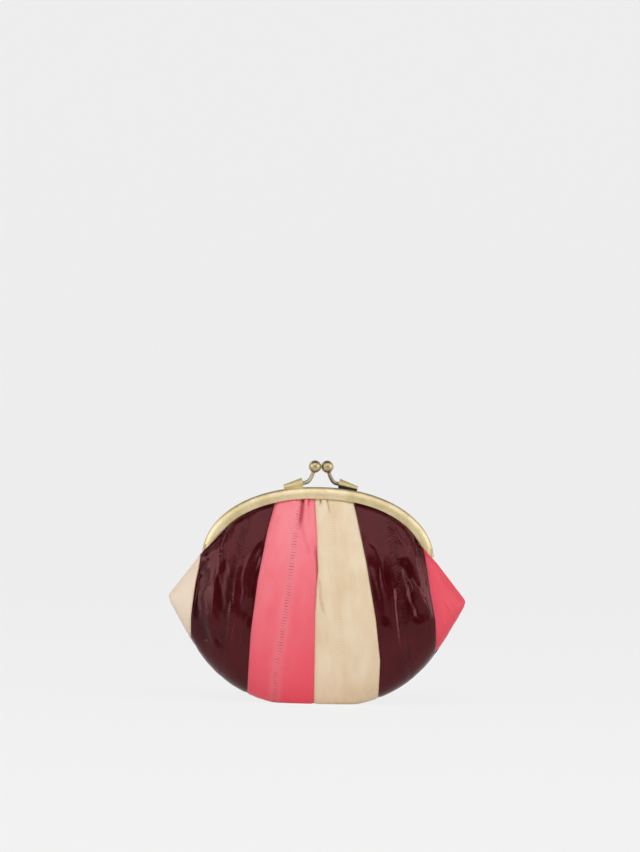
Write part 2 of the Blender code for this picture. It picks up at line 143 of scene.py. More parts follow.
camera = dict(lens=150.0, sensor=36.0, across=-0.3, height=122.6, viewHeight=377.5, roll=1.2, nearest=0.05)
cameraData = bpy.data.cameras.new("camera")
cameraData.lens = camera["lens"]
cameraData.sensor_fit = "VERTICAL"
cameraData.sensor_height = camera["sensor"]
cameraData.clip_start = camera["nearest"]
cameraObject = bpy.data.objects.new("camera", cameraData)
bpy.context.scene.collection.objects.link(cameraObject)
distance = camera["viewHeight"] * camera["lens"] / camera["sensor"]
cameraObject.matrix_world = (
    Matrix.Translation(Vector((camera["across"], -distance, camera["height"])) * mm)
    @ Matrix.Rotation(pi / 2, 4, "X") @ Matrix.Rotation(radians(camera["roll"]), 4, "Z")
)
bpy.context.scene.camera = cameraObject
print("camera placed")


# Eel skin is tanned, dyed and glazed under a glass roller. It keeps fine lines along the strip and a row
# of small cross creases where the back fin was.
eelLooks = dict(
    burgundy=dict(
        base="#380306", light="#440910", shade="#250406", toneAndSeamShade="#2c0406", creaseAndFoldShade="#1b0304", dust="#380306",
        creaseShare=0.6, dustShare=0.0, streak=0.3, specular=0.5, glaze="#ffadb2", rough=0.13, roughen=0.1,
        grain=0.002, crackle=0.14, tick=0.24, tickReach=(0.9, 2.4),
    ),
    pink=dict(
        base="#f77b87", light="#fa8d97", shade="#dd5262", toneAndSeamShade="#eb4d5e", creaseAndFoldShade="#b8394a", dust="#ea8f98",
        creaseShare=0.7, dustShare=0.35, streak=0.5, specular=0.35, glaze="#ffffff", rough=0.4, roughen=0.12,
        grain=0.001, crackle=0.03, tick=0.055, tickReach=(0.6, 1.9),
    ),
    cream=dict(
        base="#e4caa7", light="#eddabd", shade="#d3b287", toneAndSeamShade="#f2dec8", creaseAndFoldShade="#c3a077", dust="#e2c8a2",
        creaseShare=0.25, dustShare=0.3, streak=0.5, specular=0.35, glaze="#ffffff", rough=0.42, roughen=0.12,
        grain=0.001, crackle=0.025, tick=0.03, tickReach=(0.5, 1.7),
    ),
)
# Steps and distances are millimetres, and slants degrees. A range runs from where a layer starts to where it is
# full, and may end with its least and greatest share.
eelPattern = dict(
    tickStep=1.25, tickSlant=3.0, tickWander=3.5, tickLine=(0.62, 0.92), tickEnd=0.4, rungRange=(0.3, 0.7),
    patchScale=0.3, patch=(0.38, 0.6, 0.2, 1.0), stitchStep=1.15, stitchLine=(0.42, 0.12), stitchHole=(0.7, 0.9),
    stitchShare=0.5, creased=(0.4, 0.56), light=(0.35, 0.65), streak=(0.5, 0.72), dust=(3.8, 0.8),
    # glow and seam darken the skin towards its seams, a wide faint band and a narrow darker one: painted shade
    glow=(5.0, 0.0, 0.0, 0.12), seam=(0.7, 0.0, 0.0, 0.45), foldShadeShare=0.7, polish=(0.3, 0.7),
)
# Noise where the cross creases end, lines of grain, patches of fine creases and clouds of dye: its scale across
# and along the strip, its slant, and its own settings.
eelNoise = dict(
    rung=(0.05, 0.8, 0, {}), grain=(2.4, 0.17, 0, {"Detail": 5.0, "Roughness": 0.6}),
    crackle=(1.1, 0.45, 20, {"Detail": 3.0, "Distortion": 0.8}), cloud=(0.13, 0.06, 0, {"Detail": 3.0}),
)


def eelSkin(colour):
    look, pattern, noise = eelLooks[colour], eelPattern, {}
    material, shader, add = newMaterial("glazed_eel_skin_" + colour, {
        "IOR": 1.5, "Specular IOR Level": look["specular"], "Specular Tint": linear(look["glaze"]),
    })
    # skinPlace is, in millimetres, the way from the spine, the way up the strip and the way to the seam.
    # skinShadeAndTone is how deep in a fold a place lies, where the skin is painted darker as shade, and how far it
    # takes its other tone, which beside a strip's right seam is painted shade.
    place, shadeAndTone = (add("Attribute", output=1, attribute_name=name) for name in ("skinPlace", "skinShadeAndTone"))
    fromSpine, fromSeam = (add("SeparateXYZ", [place], i) for i in (0, 2))
    foldShade, toneAndSeamShade = (add("SeparateXYZ", [shadeAndTone], i) for i in (0, 1))
    for name, (across, along, slant, settings) in eelNoise.items():
        spot = {"Vector": place, "Rotation": (0, 0, radians(slant)), "Scale": (across, along, 0.0)}
        noise[name] = add("TexNoise", {"Vector": add("Mapping", spot), "Scale": 1.0, **settings})
    grain, cloud = noise["grain"], noise["cloud"]

    # cross creases of the spine
    bands = dict(output=1, wave_type="BANDS", bands_direction="Y")
    slant = (0, 0, radians(pattern["tickSlant"]))
    tilted = add("Mapping", {"Vector": place, "Rotation": slant, "Scale": (1.0, 1.0, 0.0)})
    wave = {"Vector": tilted, "Scale": bandScale(pattern["tickStep"]), "Distortion": pattern["tickWander"]}
    wave = add("TexWave", {**wave, "Detail": 2.0, "Detail Scale": 0.8}, **bands)
    reach = add("MapRange", [noise["rung"], *pattern["rungRange"], *look["tickReach"]])
    away = add("Math", [fromSpine], operation="ABSOLUTE")
    near = add("MapRange", [add("Math", [reach, away], operation="SUBTRACT"), 0.0, pattern["tickEnd"]])
    patch = add("TexNoise", {"Vector": tilted, "Scale": pattern["patchScale"], "Detail": 2.0})
    patch = add("MapRange", [patch, *pattern["patch"]])
    ticks = add("Math", [add("MapRange", [wave, *pattern["tickLine"]]), near], operation="MULTIPLY")
    ticks = add("Math", [ticks, patch], operation="MULTIPLY")

    # stitches beside the seams, and fine creases
    holes = add("TexWave", {"Vector": place, "Scale": bandScale(pattern["stitchStep"])}, **bands)
    holes = add("MapRange", [holes, *pattern["stitchHole"]])
    onLine = add("MapRange", [fromSeam, *pattern["stitchLine"]])
    stitches = add("Math", [holes, onLine], operation="MULTIPLY")
    creased = add("MapRange", [cloud, *pattern["creased"]])
    creased = add("Math", [noise["crackle"], creased], operation="MULTIPLY")

    layers = (
        (add("MapRange", [cloud, *pattern["light"]]), "light"),
        (add("MapRange", [grain, *pattern["streak"], 0.0, look["streak"]]), "light"),
        (toneAndSeamShade, "toneAndSeamShade"),
        (add("MapRange", [away, *pattern["dust"], 0.0, look["dustShare"]]), "dust"),
        # painted shade beside the seams, where the leather dips into them
        (add("MapRange", [fromSeam, *pattern["glow"]]), "shade"),
        (add("MapRange", [fromSeam, *pattern["seam"]]), "shade"),
        # painted shade in the hollows of the folds
        (add("Math", [foldShade, pattern["foldShadeShare"]], operation="MULTIPLY"), "creaseAndFoldShade"),
        (add("Math", [ticks, look["creaseShare"]], operation="MULTIPLY"), "creaseAndFoldShade"),
        (add("Math", [stitches, pattern["stitchShare"]], operation="MULTIPLY"), "creaseAndFoldShade"),
    )
    # a Mix of colours takes its share at socket 0 and the two colours at 6 and 7, and gives its result at 2
    tint = linear(look["base"])
    for share, tone in layers:
        tint = add("Mix", {0: share, 6: tint, 7: linear(look[tone])}, 2, data_type="RGBA")
    polish = add("MapRange", [cloud, *pattern["polish"], look["rough"], look["rough"] + look["roughen"]])
    normal = add("Bump", {"Height": grain, "Distance": look["grain"] * mm})
    for height, deep, sunk in ((creased, "crackle", False), (ticks, "tick", True), (stitches, "tick", True)):
        normal = add("Bump", {"Height": height, "Distance": look[deep] * mm, "Normal": normal}, invert=sunk)
    fill(shader, {"Base Color": tint, "Roughness": polish, "Normal": normal})
    return material


# Antique brass: plated sheet, tumbled and lacquered. A satin, pale gold, brown where the tumbler didn't reach.
# The bows' tops are painted darker as shade, where they turn away and meet the other bow. It starts topShade[0] mm
# from the purse's middle plane and is full at topShade[1].
brassLooks = dict(
    frame=dict(light="#ead9b2", dark="#d8c596", stainAndTopShade="#8d7a55", rough=0.5, scratch=0.008, topShade=(3.75, 3.2)),
    sleeve=dict(light="#dfcd9f", dark="#d3c08f", stainAndTopShade="#6f5c3b", rough=0.6, scratch=0.01, topShade=None),
    # The ball's and the wire's tones are set darker than the frame's, as painted shade.
    ball=dict(light="#c6b68f", dark="#a5936d", stainAndTopShade="#5d4d33", rough=0.37, scratch=0.006, topShade=None),
    wire=dict(light="#b9af9c", dark="#92866f", stainAndTopShade="#584b3c", rough=0.4, scratch=0.012, topShade=None),
)
# sizes in millimetres, and ranges of the noise
brassPattern = dict(
    cloud=9, clouded=(0.4, 0.62), spot=1.6, spotted=(0.6, 0.8, 0.0, 0.3), scratch=0.5, drawn=0.25, topShadeShare=0.8,
    polish=(0.3, 0.75), smooth=0.9, rough=1.2,
)


def antiqueBrass(part):
    look, pattern = brassLooks[part], brassPattern
    material, shader, add = newMaterial("antique_brass_" + part, {"Metallic": 1.0})
    place = add("TexCoord", output=3)
    cloud, spots = (add("TexNoise", {"Vector": place, "Scale": 1 / (pattern[size] * mm), "Detail": 3.0})
                    for size in ("cloud", "spot"))
    drawn = add("Mapping", {"Vector": place, "Scale": (pattern["drawn"], 1.0, 1.0)})
    scratches = add("TexNoise", {"Vector": drawn, "Scale": 1 / (pattern["scratch"] * mm), "Detail": 4.0})
    layers = [
        (add("MapRange", [cloud, *pattern["clouded"]]), "dark"),
        (add("MapRange", [spots, *pattern["spotted"]]), "stainAndTopShade"),
    ]
    # the bows' tops painted darker, as shade
    if look["topShade"]:
        depth = add("Math", [add("SeparateXYZ", [place], 1)], operation="ABSOLUTE")
        start, full = look["topShade"]
        layers.append((add("MapRange", [depth, start * mm, full * mm, 0.0, pattern["topShadeShare"]]), "stainAndTopShade"))
    tint = linear(look["light"])
    for share, tone in layers:
        tint = add("Mix", {0: share, 6: tint, 7: linear(look[tone])}, 2, data_type="RGBA")
    roughs = [look["rough"] * pattern[end] for end in ("smooth", "rough")]
    polish = add("MapRange", [scratches, *pattern["polish"], *roughs])
    normal = add("Bump", {"Height": scratches, "Distance": look["scratch"] * mm})
    fill(shader, {"Base Color": tint, "Roughness": polish, "Normal": normal})
    return material


# Plain-woven cotton: matt, with threads 0.45 mm apart.
clothLook = dict(
    warp="#cdb694", weft="#d9c6a8", gap="#8c7455", thread=0.45, relief=0.09, rough=0.9, fuzz=0.25, wander=0.6,
    hole=(0.6, 0.1),
)


def wovenCotton():
    look = clothLook
    material, shader, add = newMaterial("woven_cotton", {"Roughness": look["rough"], "Sheen Weight": look["fuzz"]})
    place = add("Attribute", attribute_name="skinPlace", output=1)
    threads = {"Vector": place, "Scale": bandScale(look["thread"]), "Distortion": look["wander"], "Detail": 1.0}
    bands = [add("TexWave", threads, 1, wave_type="BANDS", bands_direction=way) for way in "XY"]
    over = add("Math", bands, operation="MAXIMUM")
    which = add("Math", bands, operation="GREATER_THAN")
    tint = add("Mix", {0: which, 6: linear(look["warp"]), 7: linear(look["weft"])}, 2, data_type="RGBA")
    gap = add("MapRange", [over, *look["hole"]])
    tint = add("Mix", {0: gap, 6: tint, 7: linear(look["gap"])}, 2, data_type="RGBA")
    normal = add("Bump", {"Height": over, "Distance": look["relief"] * mm})
    fill(shader, {"Base Color": tint, "Normal": normal})
    return material


# Twisted kraft paper: matt and fibrous, with the slant of its lay.
paperLook = dict(light="#cbb48d", dark="#8d744f", lay=1.1, wander=1.0, fibre=0.3, relief=0.12, rough=0.95)


def twistedPaper():
    look = paperLook
    material, shader, add = newMaterial("twisted_paper", {"Roughness": look["rough"]})
    place = add("TexCoord", output=3)
    lay = {"Vector": place, "Scale": bandScale(look["lay"] * mm), "Distortion": look["wander"], "Detail": 2.0}
    lay = add("TexWave", lay, 1, wave_type="BANDS", bands_direction="DIAGONAL")
    fibre = add("TexNoise", {"Vector": place, "Scale": 1 / (look["fibre"] * mm), "Detail": 3.0})
    share = add("Math", [lay, fibre], operation="MULTIPLY")
    tint = add("Mix", {0: share, 6: linear(look["dark"]), 7: linear(look["light"])}, 2, data_type="RGBA")
    normal = add("Bump", {"Height": lay, "Distance": look["relief"] * mm})
    fill(shader, {"Base Color": tint, "Normal": normal})
    return material


# Solder under the clasp's right sleeve, painted black as the shadow in the gap beneath the sleeve.
solderShadowLook = dict(light="#2b2724", dark="#120f0e", blot=0.8, metal=0.4, rough=0.45)


def solderPaintedShadow():
    look = solderShadowLook
    material, shader, add = newMaterial("solder_painted_shadow", {"Metallic": look["metal"], "Roughness": look["rough"]})
    place = add("TexCoord", output=3)
    blots = add("TexNoise", {"Vector": place, "Scale": 1 / (look["blot"] * mm), "Detail": 3.0})
    tint = add("Mix", {0: blots, 6: linear(look["dark"]), 7: linear(look["light"])}, 2, data_type="RGBA")
    fill(shader, {"Base Color": tint})
    return material


skins = {colour: eelSkin(colour) for colour in eelLooks}
brasses = {part: antiqueBrass(part) for part in brassLooks}
cotton, paper, solderShadowMetal = wovenCotton(), twistedPaper(), solderPaintedShadow()
print("materials made")


purse = dict(
    hinge=62.7, halfWidth=51.4, rise=32.8, power=2.13, band=5.1, bowDepth=4.6, bowGap=0.4, sheet=0.6, camber=0.3,
    leather=0.8, belly=15.5, earReach=66.2, earHeight=46.0, squash=1.9, clearance=0.3, bottomPull=43.5,
    flankPull=26.3, flankSlope=61.4, flankPower=0.6, neckPower=1.5, easePower=3.0, seamBow=2.6, bellyShare=0.38,
    bottomPower=2.5, sidePower=2.6, seamGap=0.3, insert=2.7, mouthDrop=0.7, mouthShare=0.88,
    tuck=0.15, touch=0.03, turnedEdge=1.1,     # the leather laps the channel's mouth, and its sewn edge is turned in
)
# Each table gives a share by the place across the purse, which is 0 at an ear's point and 3 at the middle.
footShares = ((0, 1.0), (1, 0.71), (2, 0.28), (3, 0.0))
flatShares = ((0, 1.0), (1, 0.6), (2, 0.15), (3, 0.0))
gripShares = ((1.25, 0.0), (1.33, 1.0))
tuckShares = ((0.2, 0.0), (0.31, 0.12), (0.42, 0.25), (0.53, 0.32), (0.75, 0.43), (0.88, 0.76), (1.0, 1.0))
coverShares = ((1.12, 1.0), (1.185, 0.5), (1.25, 0.0))
easeShares = ((1.12, 1.0), (1.9, 0.0))     # how the step at the bow's end is drawn out below the bow
# The leather's straight upper edge at a bow's end: its corner beside the bow, and its angles round the bow.
ends = dict(
    left=dict(corner=(51.9, 65.0), angles=((1.12, 25.0), (1.25, 29.5), (1.42, 36.0), (2, 71.0), (3, 90.0))),
    right=dict(corner=(53.0, 62.6), angles=((1.12, 18.0), (1.25, 24.0), (1.42, 33.0), (2, 71.0), (3, 90.0))),
)
bowInner = purse["bowGap"] / 2
bowOuter = bowInner + purse["bowDepth"]
bowMiddle = bowInner + purse["bowDepth"] / 2
leatherInChannel = bowOuter - purse["camber"] - purse["sheet"] - purse["clearance"]
leatherOverBow = bowOuter + purse["clearance"] + purse["leather"]


def tableValue(table, key):
    return np.interp(key, [row[0] for row in table], [row[1] for row in table])


# (x, z) on a bow's outline at an angle from its right end, moved in by inset
def bowPlace(angle, inset):
    p = purse["power"]
    x = purse["halfWidth"] * np.abs(np.cos(angle)) ** (2 / p)
    z = purse["rise"] * np.abs(np.sin(angle)) ** (2 / p)
    slopeX = x ** (p - 1) / purse["halfWidth"] ** p
    slopeZ = z ** (p - 1) / purse["rise"] ** p
    length = np.hypot(slopeX, slopeZ)
    x = x - inset * slopeX / length
    z = z - inset * slopeZ / length
    return np.where(np.cos(angle) > 0, x, -x), purse["hinge"] + z


# angles along a bow's outline, from and to the places that lie so high above the hinge
def bowAngles(height, steps):
    share = (height / purse["rise"]) ** (purse["power"] / 2)
    first = np.arctan2(share, (1 - share * share) ** 0.5)
    return np.linspace(first, pi - first, steps + 1)


def bowTopAt(x):
    share = (abs(x) / purse["halfWidth"]) ** purse["power"]
    return purse["hinge"] + purse["rise"] * (1 - share) ** (1 / purse["power"])


def bezier(a, b, c, d, share):
    rest = 1 - share
    return a * rest ** 3 + 3 * b * rest ** 2 * share + 3 * c * rest * share ** 2 + d * share ** 3


def blended(first, second, share):
    return first + (second - first) * share


# The leather's upper edge: x and z of its foot, x and z of its top, the depth of its outside there, and the depth
# that the body below runs up to.
def topEdge(strip, end):
    drop, band = purse["mouthDrop"], purse["band"]
    cornerX, cornerZ = end["corner"]
    leave, leaveAngle = end["angles"][0]
    flat = purse["seamGap"] / 2 + purse["leather"]
    # over the ear
    earX = blended(purse["earReach"], cornerX, strip)
    earZ = blended(purse["earHeight"], cornerZ, strip)
    earDepth = flat + tableValue(tuckShares, strip) * (leatherOverBow - flat)
    overEar = (earX, earZ - drop * strip, earX, earZ, earDepth, earDepth)
    # over the bow's end
    share = np.clip((strip - 1) / (leave - 1), 0, 1)
    leaveX, leaveZ = bowPlace(radians(leaveAngle), band - purse["tuck"])
    lowX, lowZ = bowPlace(radians(leaveAngle), band + 2 * drop)
    overEnd = (blended(cornerX, lowX, share), blended(cornerZ - drop, lowZ, share), blended(cornerX, leaveX, share),
               blended(cornerZ, leaveZ, share), leatherOverBow, leatherOverBow)
    # in the channel
    angle = np.radians(tableValue(end["angles"], strip))
    grip = tableValue(gripShares, strip)
    foot = bowPlace(angle, band + drop * (2 - grip))
    top = bowPlace(angle, band - purse["tuck"] - grip * (purse["insert"] - purse["tuck"]))
    depths = (leatherInChannel + tableValue(shares, strip) * (leatherOverBow - leatherInChannel)
              for shares in (coverShares, easeShares))
    places = zip(overEar, overEnd, (*foot, *top, *depths))
    return [np.where(strip < 1, ear, np.where(strip < leave, over, held)) for ear, over, held in places]


# (x, outward depth, z) of the leather's outside. turn is -3 at the left ear's point, 0 at the middle and 3 at
# the right ear's point. rise is 0 at the bottom seam and 1 at the top edge. flip is -1 on the back, which is
# made as a front and turned half round.
def pouchPlace(turn, rise, flip=1):
    strip = 3 - np.abs(turn)
    share = tableValue(footShares, strip)
    slope = radians(purse["flankSlope"])
    tipX, tipZ = purse["earReach"], purse["earHeight"]
    lowX = bezier(0, purse["bottomPull"], tipX - purse["flankPull"] * cos(slope), tipX, share)
    lowZ = bezier(0, 0, tipZ - purse["flankPull"] * sin(slope), tipZ, share)
    sides = zip(topEdge(strip, ends["left"]), topEdge(strip, ends["right"]))
    sides = (np.where(turn * flip < 0, left, right) for left, right in sides)
    footX, footZ, topX, topZ, topDepth, easedDepth = sides
    edge = purse["seamGap"] / 2 + purse["leather"] * tableValue(flatShares, strip)
    bellyX = lowX + (footX - lowX) * purse["bellyShare"]
    fullness = np.maximum(0, 1 - (bellyX / tipX) ** purse["sidePower"]) ** purse["flankPower"]
    swell = (purse["belly"] - edge) * fullness
    fullDepth = edge + swell
    closed = np.clip(rise * np.hypot(footX - lowX, footZ - lowZ) / purse["turnedEdge"], 0, 1)
    edge = purse["touch"] + (edge - purse["touch"]) * np.sqrt(1 - (1 - closed) ** 2)
    way = np.minimum(pi * rise / purse["mouthShare"], pi)
    power = 2 / purse["bottomPower"]
    lower = way < pi / 2
    height = np.where(lower, purse["bellyShare"] * (1 - np.abs(np.cos(way)) ** power),
                      purse["bellyShare"] - (1 - purse["bellyShare"]) * np.cos(way))
    neck = np.abs(np.sin(way))
    depth = np.where(lower, edge + swell * neck ** power,
                     easedDepth + (fullDepth - easedDepth) * neck ** purse["neckPower"]
                     + (topDepth - easedDepth) * (1 - neck) ** purse["easePower"])
    x = blended(lowX, footX, height)
    z = blended(lowZ, footZ, height)
    x = x + purse["seamBow"] * np.sin(pi * height) * np.sin(pi * np.minimum(1, lowX / tipX)) ** 2
    z = np.maximum(0, z - purse["squash"] * np.maximum(0, 1 - z / tipZ) ** 2)
    lip = np.clip((rise - purse["mouthShare"]) / (1 - purse["mouthShare"]), 0, 1)
    inLip = rise > purse["mouthShare"]
    x = np.where(inLip, blended(footX, topX, lip), x)
    z = np.where(inLip, blended(footZ, topZ, lip), z)
    depth = np.where(inLip, topDepth, depth)
    return np.where(turn < 0, -x, x), depth, z


scatter = (127.1, 311.7, 74.7, 43758.5453)     # uneven, so that neighbours on the lattice differ


# smooth noise from -1 to 1 on a unit lattice, the same each run
def latticeNoise(x, y, seed):
    cellX, cellY = np.floor(x), np.floor(y)
    shareX, shareY = x - cellX, y - cellY
    shareX = shareX * shareX * (3 - 2 * shareX)
    shareY = shareY * shareY * (3 - 2 * shareY)

    def corner(i, j):
        value = np.sin(i * scatter[0] + j * scatter[1] + seed * scatter[2]) * scatter[3]
        return 2 * (value - np.floor(value)) - 1

    low = blended(corner(cellX, cellY), corner(cellX + 1, cellY), shareX)
    high = blended(corner(cellX, cellY + 1), corner(cellX + 1, cellY + 1), shareX)
    return blended(low, high, shareY)


# distance to a line of points, and how far along it the nearest place is, from 0 to 1
def wayToLine(x, z, points):
    best = np.full(x.shape, np.inf)
    along = np.zeros(x.shape)
    lengths = [np.hypot(b[0] - a[0], b[1] - a[1]) for a, b in zip(points, points[1:])]
    passed = 0.0
    for (ax, az), (bx, bz), length in zip(points, points[1:], lengths):
        share = np.clip(((x - ax) * (bx - ax) + (z - az) * (bz - az)) / length ** 2, 0, 1)
        away = np.hypot(x - ax - share * (bx - ax), z - az - share * (bz - az))
        nearer = away < best
        best = np.where(nearer, away, best)
        along = np.where(nearer, (passed + share * length) / sum(lengths), along)
        passed += length
    return best, along


# Where the hinge axis and the purse's middle cross in the photograph, and its scale.
photo = dict(x=318.3, y=562.0, mmPerPixel=0.44)


def fromPhoto(pixel):
    dx, dy = pixel[0] - photo["x"], photo["y"] - pixel[1]
    turn, scale = radians(camera["roll"]), photo["mmPerPixel"]
    return (dx * cos(turn) - dy * sin(turn)) * scale, (dx * sin(turn) + dy * cos(turn)) * scale + purse["hinge"]


# Seams of the front side, from the top edge to the bottom one, as (x, z).
frontSeams = (
    ((-51.9, 70), (-51.9, 65.3), (-54.0, 52.3), (-55.5, 38.3), (-55.8, 29.1), (-55.8, 20)),
    ((-18.9, 94), (-19.5, 88.2), (-22.5, 76.1), (-26.2, 54.7), (-28.9, 30.6), (-30.1, 5.6), (-30.2, 0)),
    ((-2.1, 95), (-1.9, 89.9), (-0.6, 74), (0.1, 59.0), (-0.75, 46.0), (-0.55, 23.7), (-0.5, 1.1), (-0.5, 0)),
    ((14.6, 94), (15.7, 88.0), (21.3, 63.1), (26.0, 38.2), (28.3, 19.7), (28.1, 6.3), (28.0, 0)),
    ((45.6, 74), (46.2, 70.6), (49.9, 50.8), (52.4, 37.8), (53.1, 27.2), (53.2, 20)),
)
pouchGrid = dict(bodyRows=200, lipRows=8, searchReach=2.9, searchSteps=580)
rises = np.concatenate([
    np.linspace(0, purse["mouthShare"], pouchGrid["bodyRows"] + 1),
    np.linspace(purse["mouthShare"], 1, pouchGrid["lipRows"] + 1)[1:],
])
earTip = 2.955     # as a turn, for the point is cut off blunt


# where a seam crosses each row of the pouch, as a turn
def seamTurns(seam):
    line = sorted(seam, key=lambda place: place[1])
    tries = np.linspace(-pouchGrid["searchReach"], pouchGrid["searchReach"], pouchGrid["searchSteps"] + 1)
    turns = []
    for rise in rises:
        x, _, z = pouchPlace(tries, np.full(tries.shape, rise))
        off = x - np.interp(z, *np.transpose(line)[::-1])
        i = int(np.argmax(off > 0))
        turns.append(tries[i - 1] + (tries[i] - tries[i - 1]) * off[i - 1] / (off[i - 1] - off[i]))
    return np.array(turns)


edges = [np.full(rises.shape, -earTip), *(seamTurns(seam) for seam in frontSeams), np.full(rises.shape, earTip)]
print("seams found")


# short creases side by side, from the first to the last of their lines
def hatch(first, last, count, half, deep):
    lines = []
    for i in range(count):
        share = i / (count - 1)
        line = tuple(tuple(blended(a, b, share) for a, b in zip(p, q)) for p, q in zip(first, last))
        lines.append((line, half, deep))
    return lines


# One dictionary for each strip of the front, from left to right. broad, wrinkle, crumple and fine are heights of
# its waves, puff is how far it swells between its seams, and toneShares is how far it takes its other tone at the
# bottom, at the top and beside its right seam, where that tone is painted shade. spine is the line of the cross
# creases, as pixels of the photograph. folds are (pixels along the line, half width, height), and a fold whose line
# starts above top runs on into the frame.
burgundyStrip = dict(
    colour="burgundy", columns=84, puff=0.75, broad=0.26, wrinkle=0.04, crumple=0.13, fine=0.02, toneShares=(0.0, 0.0, 0.0),
)
strips = (
    dict(
        name="left_ear", colour="cream", columns=30, puff=0.0, broad=0.15, wrinkle=0.004, crumple=0.01, fine=0.002,
        toneShares=(1.0, 1.0, 0.0), spine=None, folds=(),
    ),
    dict(
        name="left_outer", **burgundyStrip,
        spine=((248, 522), (242, 540), (236, 565), (231, 592), (228, 613), (225, 633), (222, 668), (221, 690)),
        folds=(
            (((262, 536), (252, 553), (247, 567), (244.5, 580), (245.5, 592), (243, 610)), 1.1, 0.5),
            (((265, 552), (256, 575), (253, 600), (249, 625)), 1.3, -0.5),
            (((242, 560), (238, 575), (236, 596), (233, 620)), 1.0, 0.3),
            (((226, 560), (221, 585), (221, 612), (224, 640), (229, 655)), 2.4, -0.5),
            (((203, 588), (206, 612), (214, 640), (222, 656)), 1.5, 0.45),
            (((200, 560), (198, 585), (200, 615), (208, 650)), 4.6, -1.7),
            (((226, 545), (213, 552), (203, 562)), 2.0, 0.4),
            (((246, 612), (243, 636), (238, 660)), 0.55, 0.42), (((251, 622), (247, 648), (241, 668)), 0.5, 0.34),
            (((232, 600), (230, 625), (226, 650)), 0.5, 0.32), (((238, 600), (236, 622), (232, 645)), 0.4, 0.26),
            *hatch(((197, 583), (207, 570)), ((200, 592), (209, 583)), 5, 0.32, -0.28),
            *hatch(((199, 572), (206, 563)), ((198, 580), (207, 568)), 3, 0.32, -0.22),
        ),
    ),
    dict(
        name="left_inner", colour="pink", columns=90, puff=0.45, broad=0.14, wrinkle=0.002, crumple=0.02, fine=0.0,
        toneShares=(0.92, 0.0, 0.1),
        spine=((301, 505), (298, 520), (294, 549), (291, 575), (287, 608), (281.5, 640), (277, 667), (275, 695)),
        folds=(
            (((296.5, 495), (297, 503)), 0.4, -0.7), (((309.2, 495), (308.6, 509)), 0.45, -0.9),
            (((304, 495), (302.8, 508), (301.2, 520), (300.5, 532)), 0.75, -1.5),
            (((298.5, 515), (300.5, 522)), 0.4, -0.35), (((297, 519), (299.5, 525)), 0.4, -0.3),
            (((306.5, 498), (306.5, 514), (308, 536), (310, 556)), 1.4, 0.8),
            (((301.5, 524), (305, 540), (310, 556)), 0.8, -0.5),
            (((296, 498), (292, 512), (288, 530)), 1.8, 0.35),
            (((315.2, 548), (316.8, 566), (317, 590), (316, 612)), 1.3, 0.55),
            (((315.5, 545), (317.6, 562), (318.6, 580), (318.6, 596)), 0.9, -1.2),
            (((282, 516), (274, 545), (268, 580)), 2.4, 0.3),
            (((254, 605), (256, 610)), 0.35, -0.18), (((265, 612), (268, 614)), 0.35, -0.18),
            (((270, 640), (284, 645)), 0.5, -0.12), (((262, 668), (290, 664)), 0.9, 0.12),
        ),
    ),
    dict(
        name="right_inner", colour="cream", columns=90, puff=0.4, broad=0.12, wrinkle=0.004, crumple=0.02, fine=0.001,
        toneShares=(0.0, 0.0, 0.0),
        spine=((333, 520), (336, 560), (339, 600), (343, 640), (345, 690)),
        folds=(
            (((321.6, 495), (320.4, 507)), 0.42, -0.9),
            (((326.5, 495), (328.6, 505), (330.8, 516)), 0.4, -0.8),
            (((335, 495), (334.6, 503)), 0.35, -0.4), (((312, 495), (313.5, 504)), 0.4, -0.5),
            (((324.5, 497), (325, 512)), 1.1, 0.4),
            (((319.2, 578), (320.4, 592), (321.6, 602), (324.6, 615)), 0.7, -0.8),
            (((323.5, 596), (325.6, 611), (329, 617)), 0.6, 0.3),
            *hatch(((337, 637), (347, 636)), ((339, 652), (348, 651)), 4, 0.35, -0.1),
            (((330, 632), (344, 631)), 0.35, -0.1), (((348, 565), (352, 600), (357, 640)), 1.2, 0.15),
            (((331, 640), (333, 655), (336, 668)), 0.5, 0.14),
        ),
    ),
    dict(
        name="right_outer", **burgundyStrip,
        spine=((390, 518), (394, 551), (399, 573), (402.4, 602), (405, 630), (408, 645), (409.5, 662), (411, 690)),
        folds=(
            (((368, 540), (376, 548), (381, 560), (382.5, 578), (386, 596)), 0.6, 0.4),
            (((372, 558), (378, 580), (384, 604), (387, 625)), 1.4, -0.55),
            (((392.5, 580), (393.5, 600), (396, 625), (400, 655)), 0.7, 0.4),
            (((397, 585), (399, 612), (402, 640)), 0.9, -0.5),
            (((403, 558), (409, 578), (414, 600), (423, 622)), 2.2, -0.65),
            (((399, 595), (401, 620), (404, 640)), 1.3, 0.4),
            (((409, 580), (413, 590)), 0.4, 0.42), (((412, 579), (417, 590)), 0.4, 0.42),
            (((417, 586), (423, 600), (430, 614)), 0.5, 0.45), (((424, 596), (428, 608), (432, 622)), 0.45, 0.4),
            *hatch(((389, 527), (396, 534)), ((396, 541), (403, 549)), 6, 0.32, -0.26),
            *hatch(((395, 527), (405, 535)), ((400, 536), (409, 545)), 4, 0.32, -0.24),
            (((424, 545), (428, 570), (431, 590)), 1.4, 0.35),
        ),
    ),
    dict(
        name="right_ear", colour="pink", columns=30, puff=0.0, broad=0.18, wrinkle=0.02, crumple=0.03, fine=0.002,
        toneShares=(1.0, 1.0, 0.0), spine=None,
        folds=(
            (((436, 612), (444, 622)), 0.5, -0.25), (((445, 600), (452, 612)), 0.5, 0.2),
            (((452, 605), (457, 613)), 0.4, -0.25), (((441, 618), (447, 626)), 0.5, 0.2),
            (((434, 575), (440, 600)), 2.5, -0.3),
        ),
    ),
)
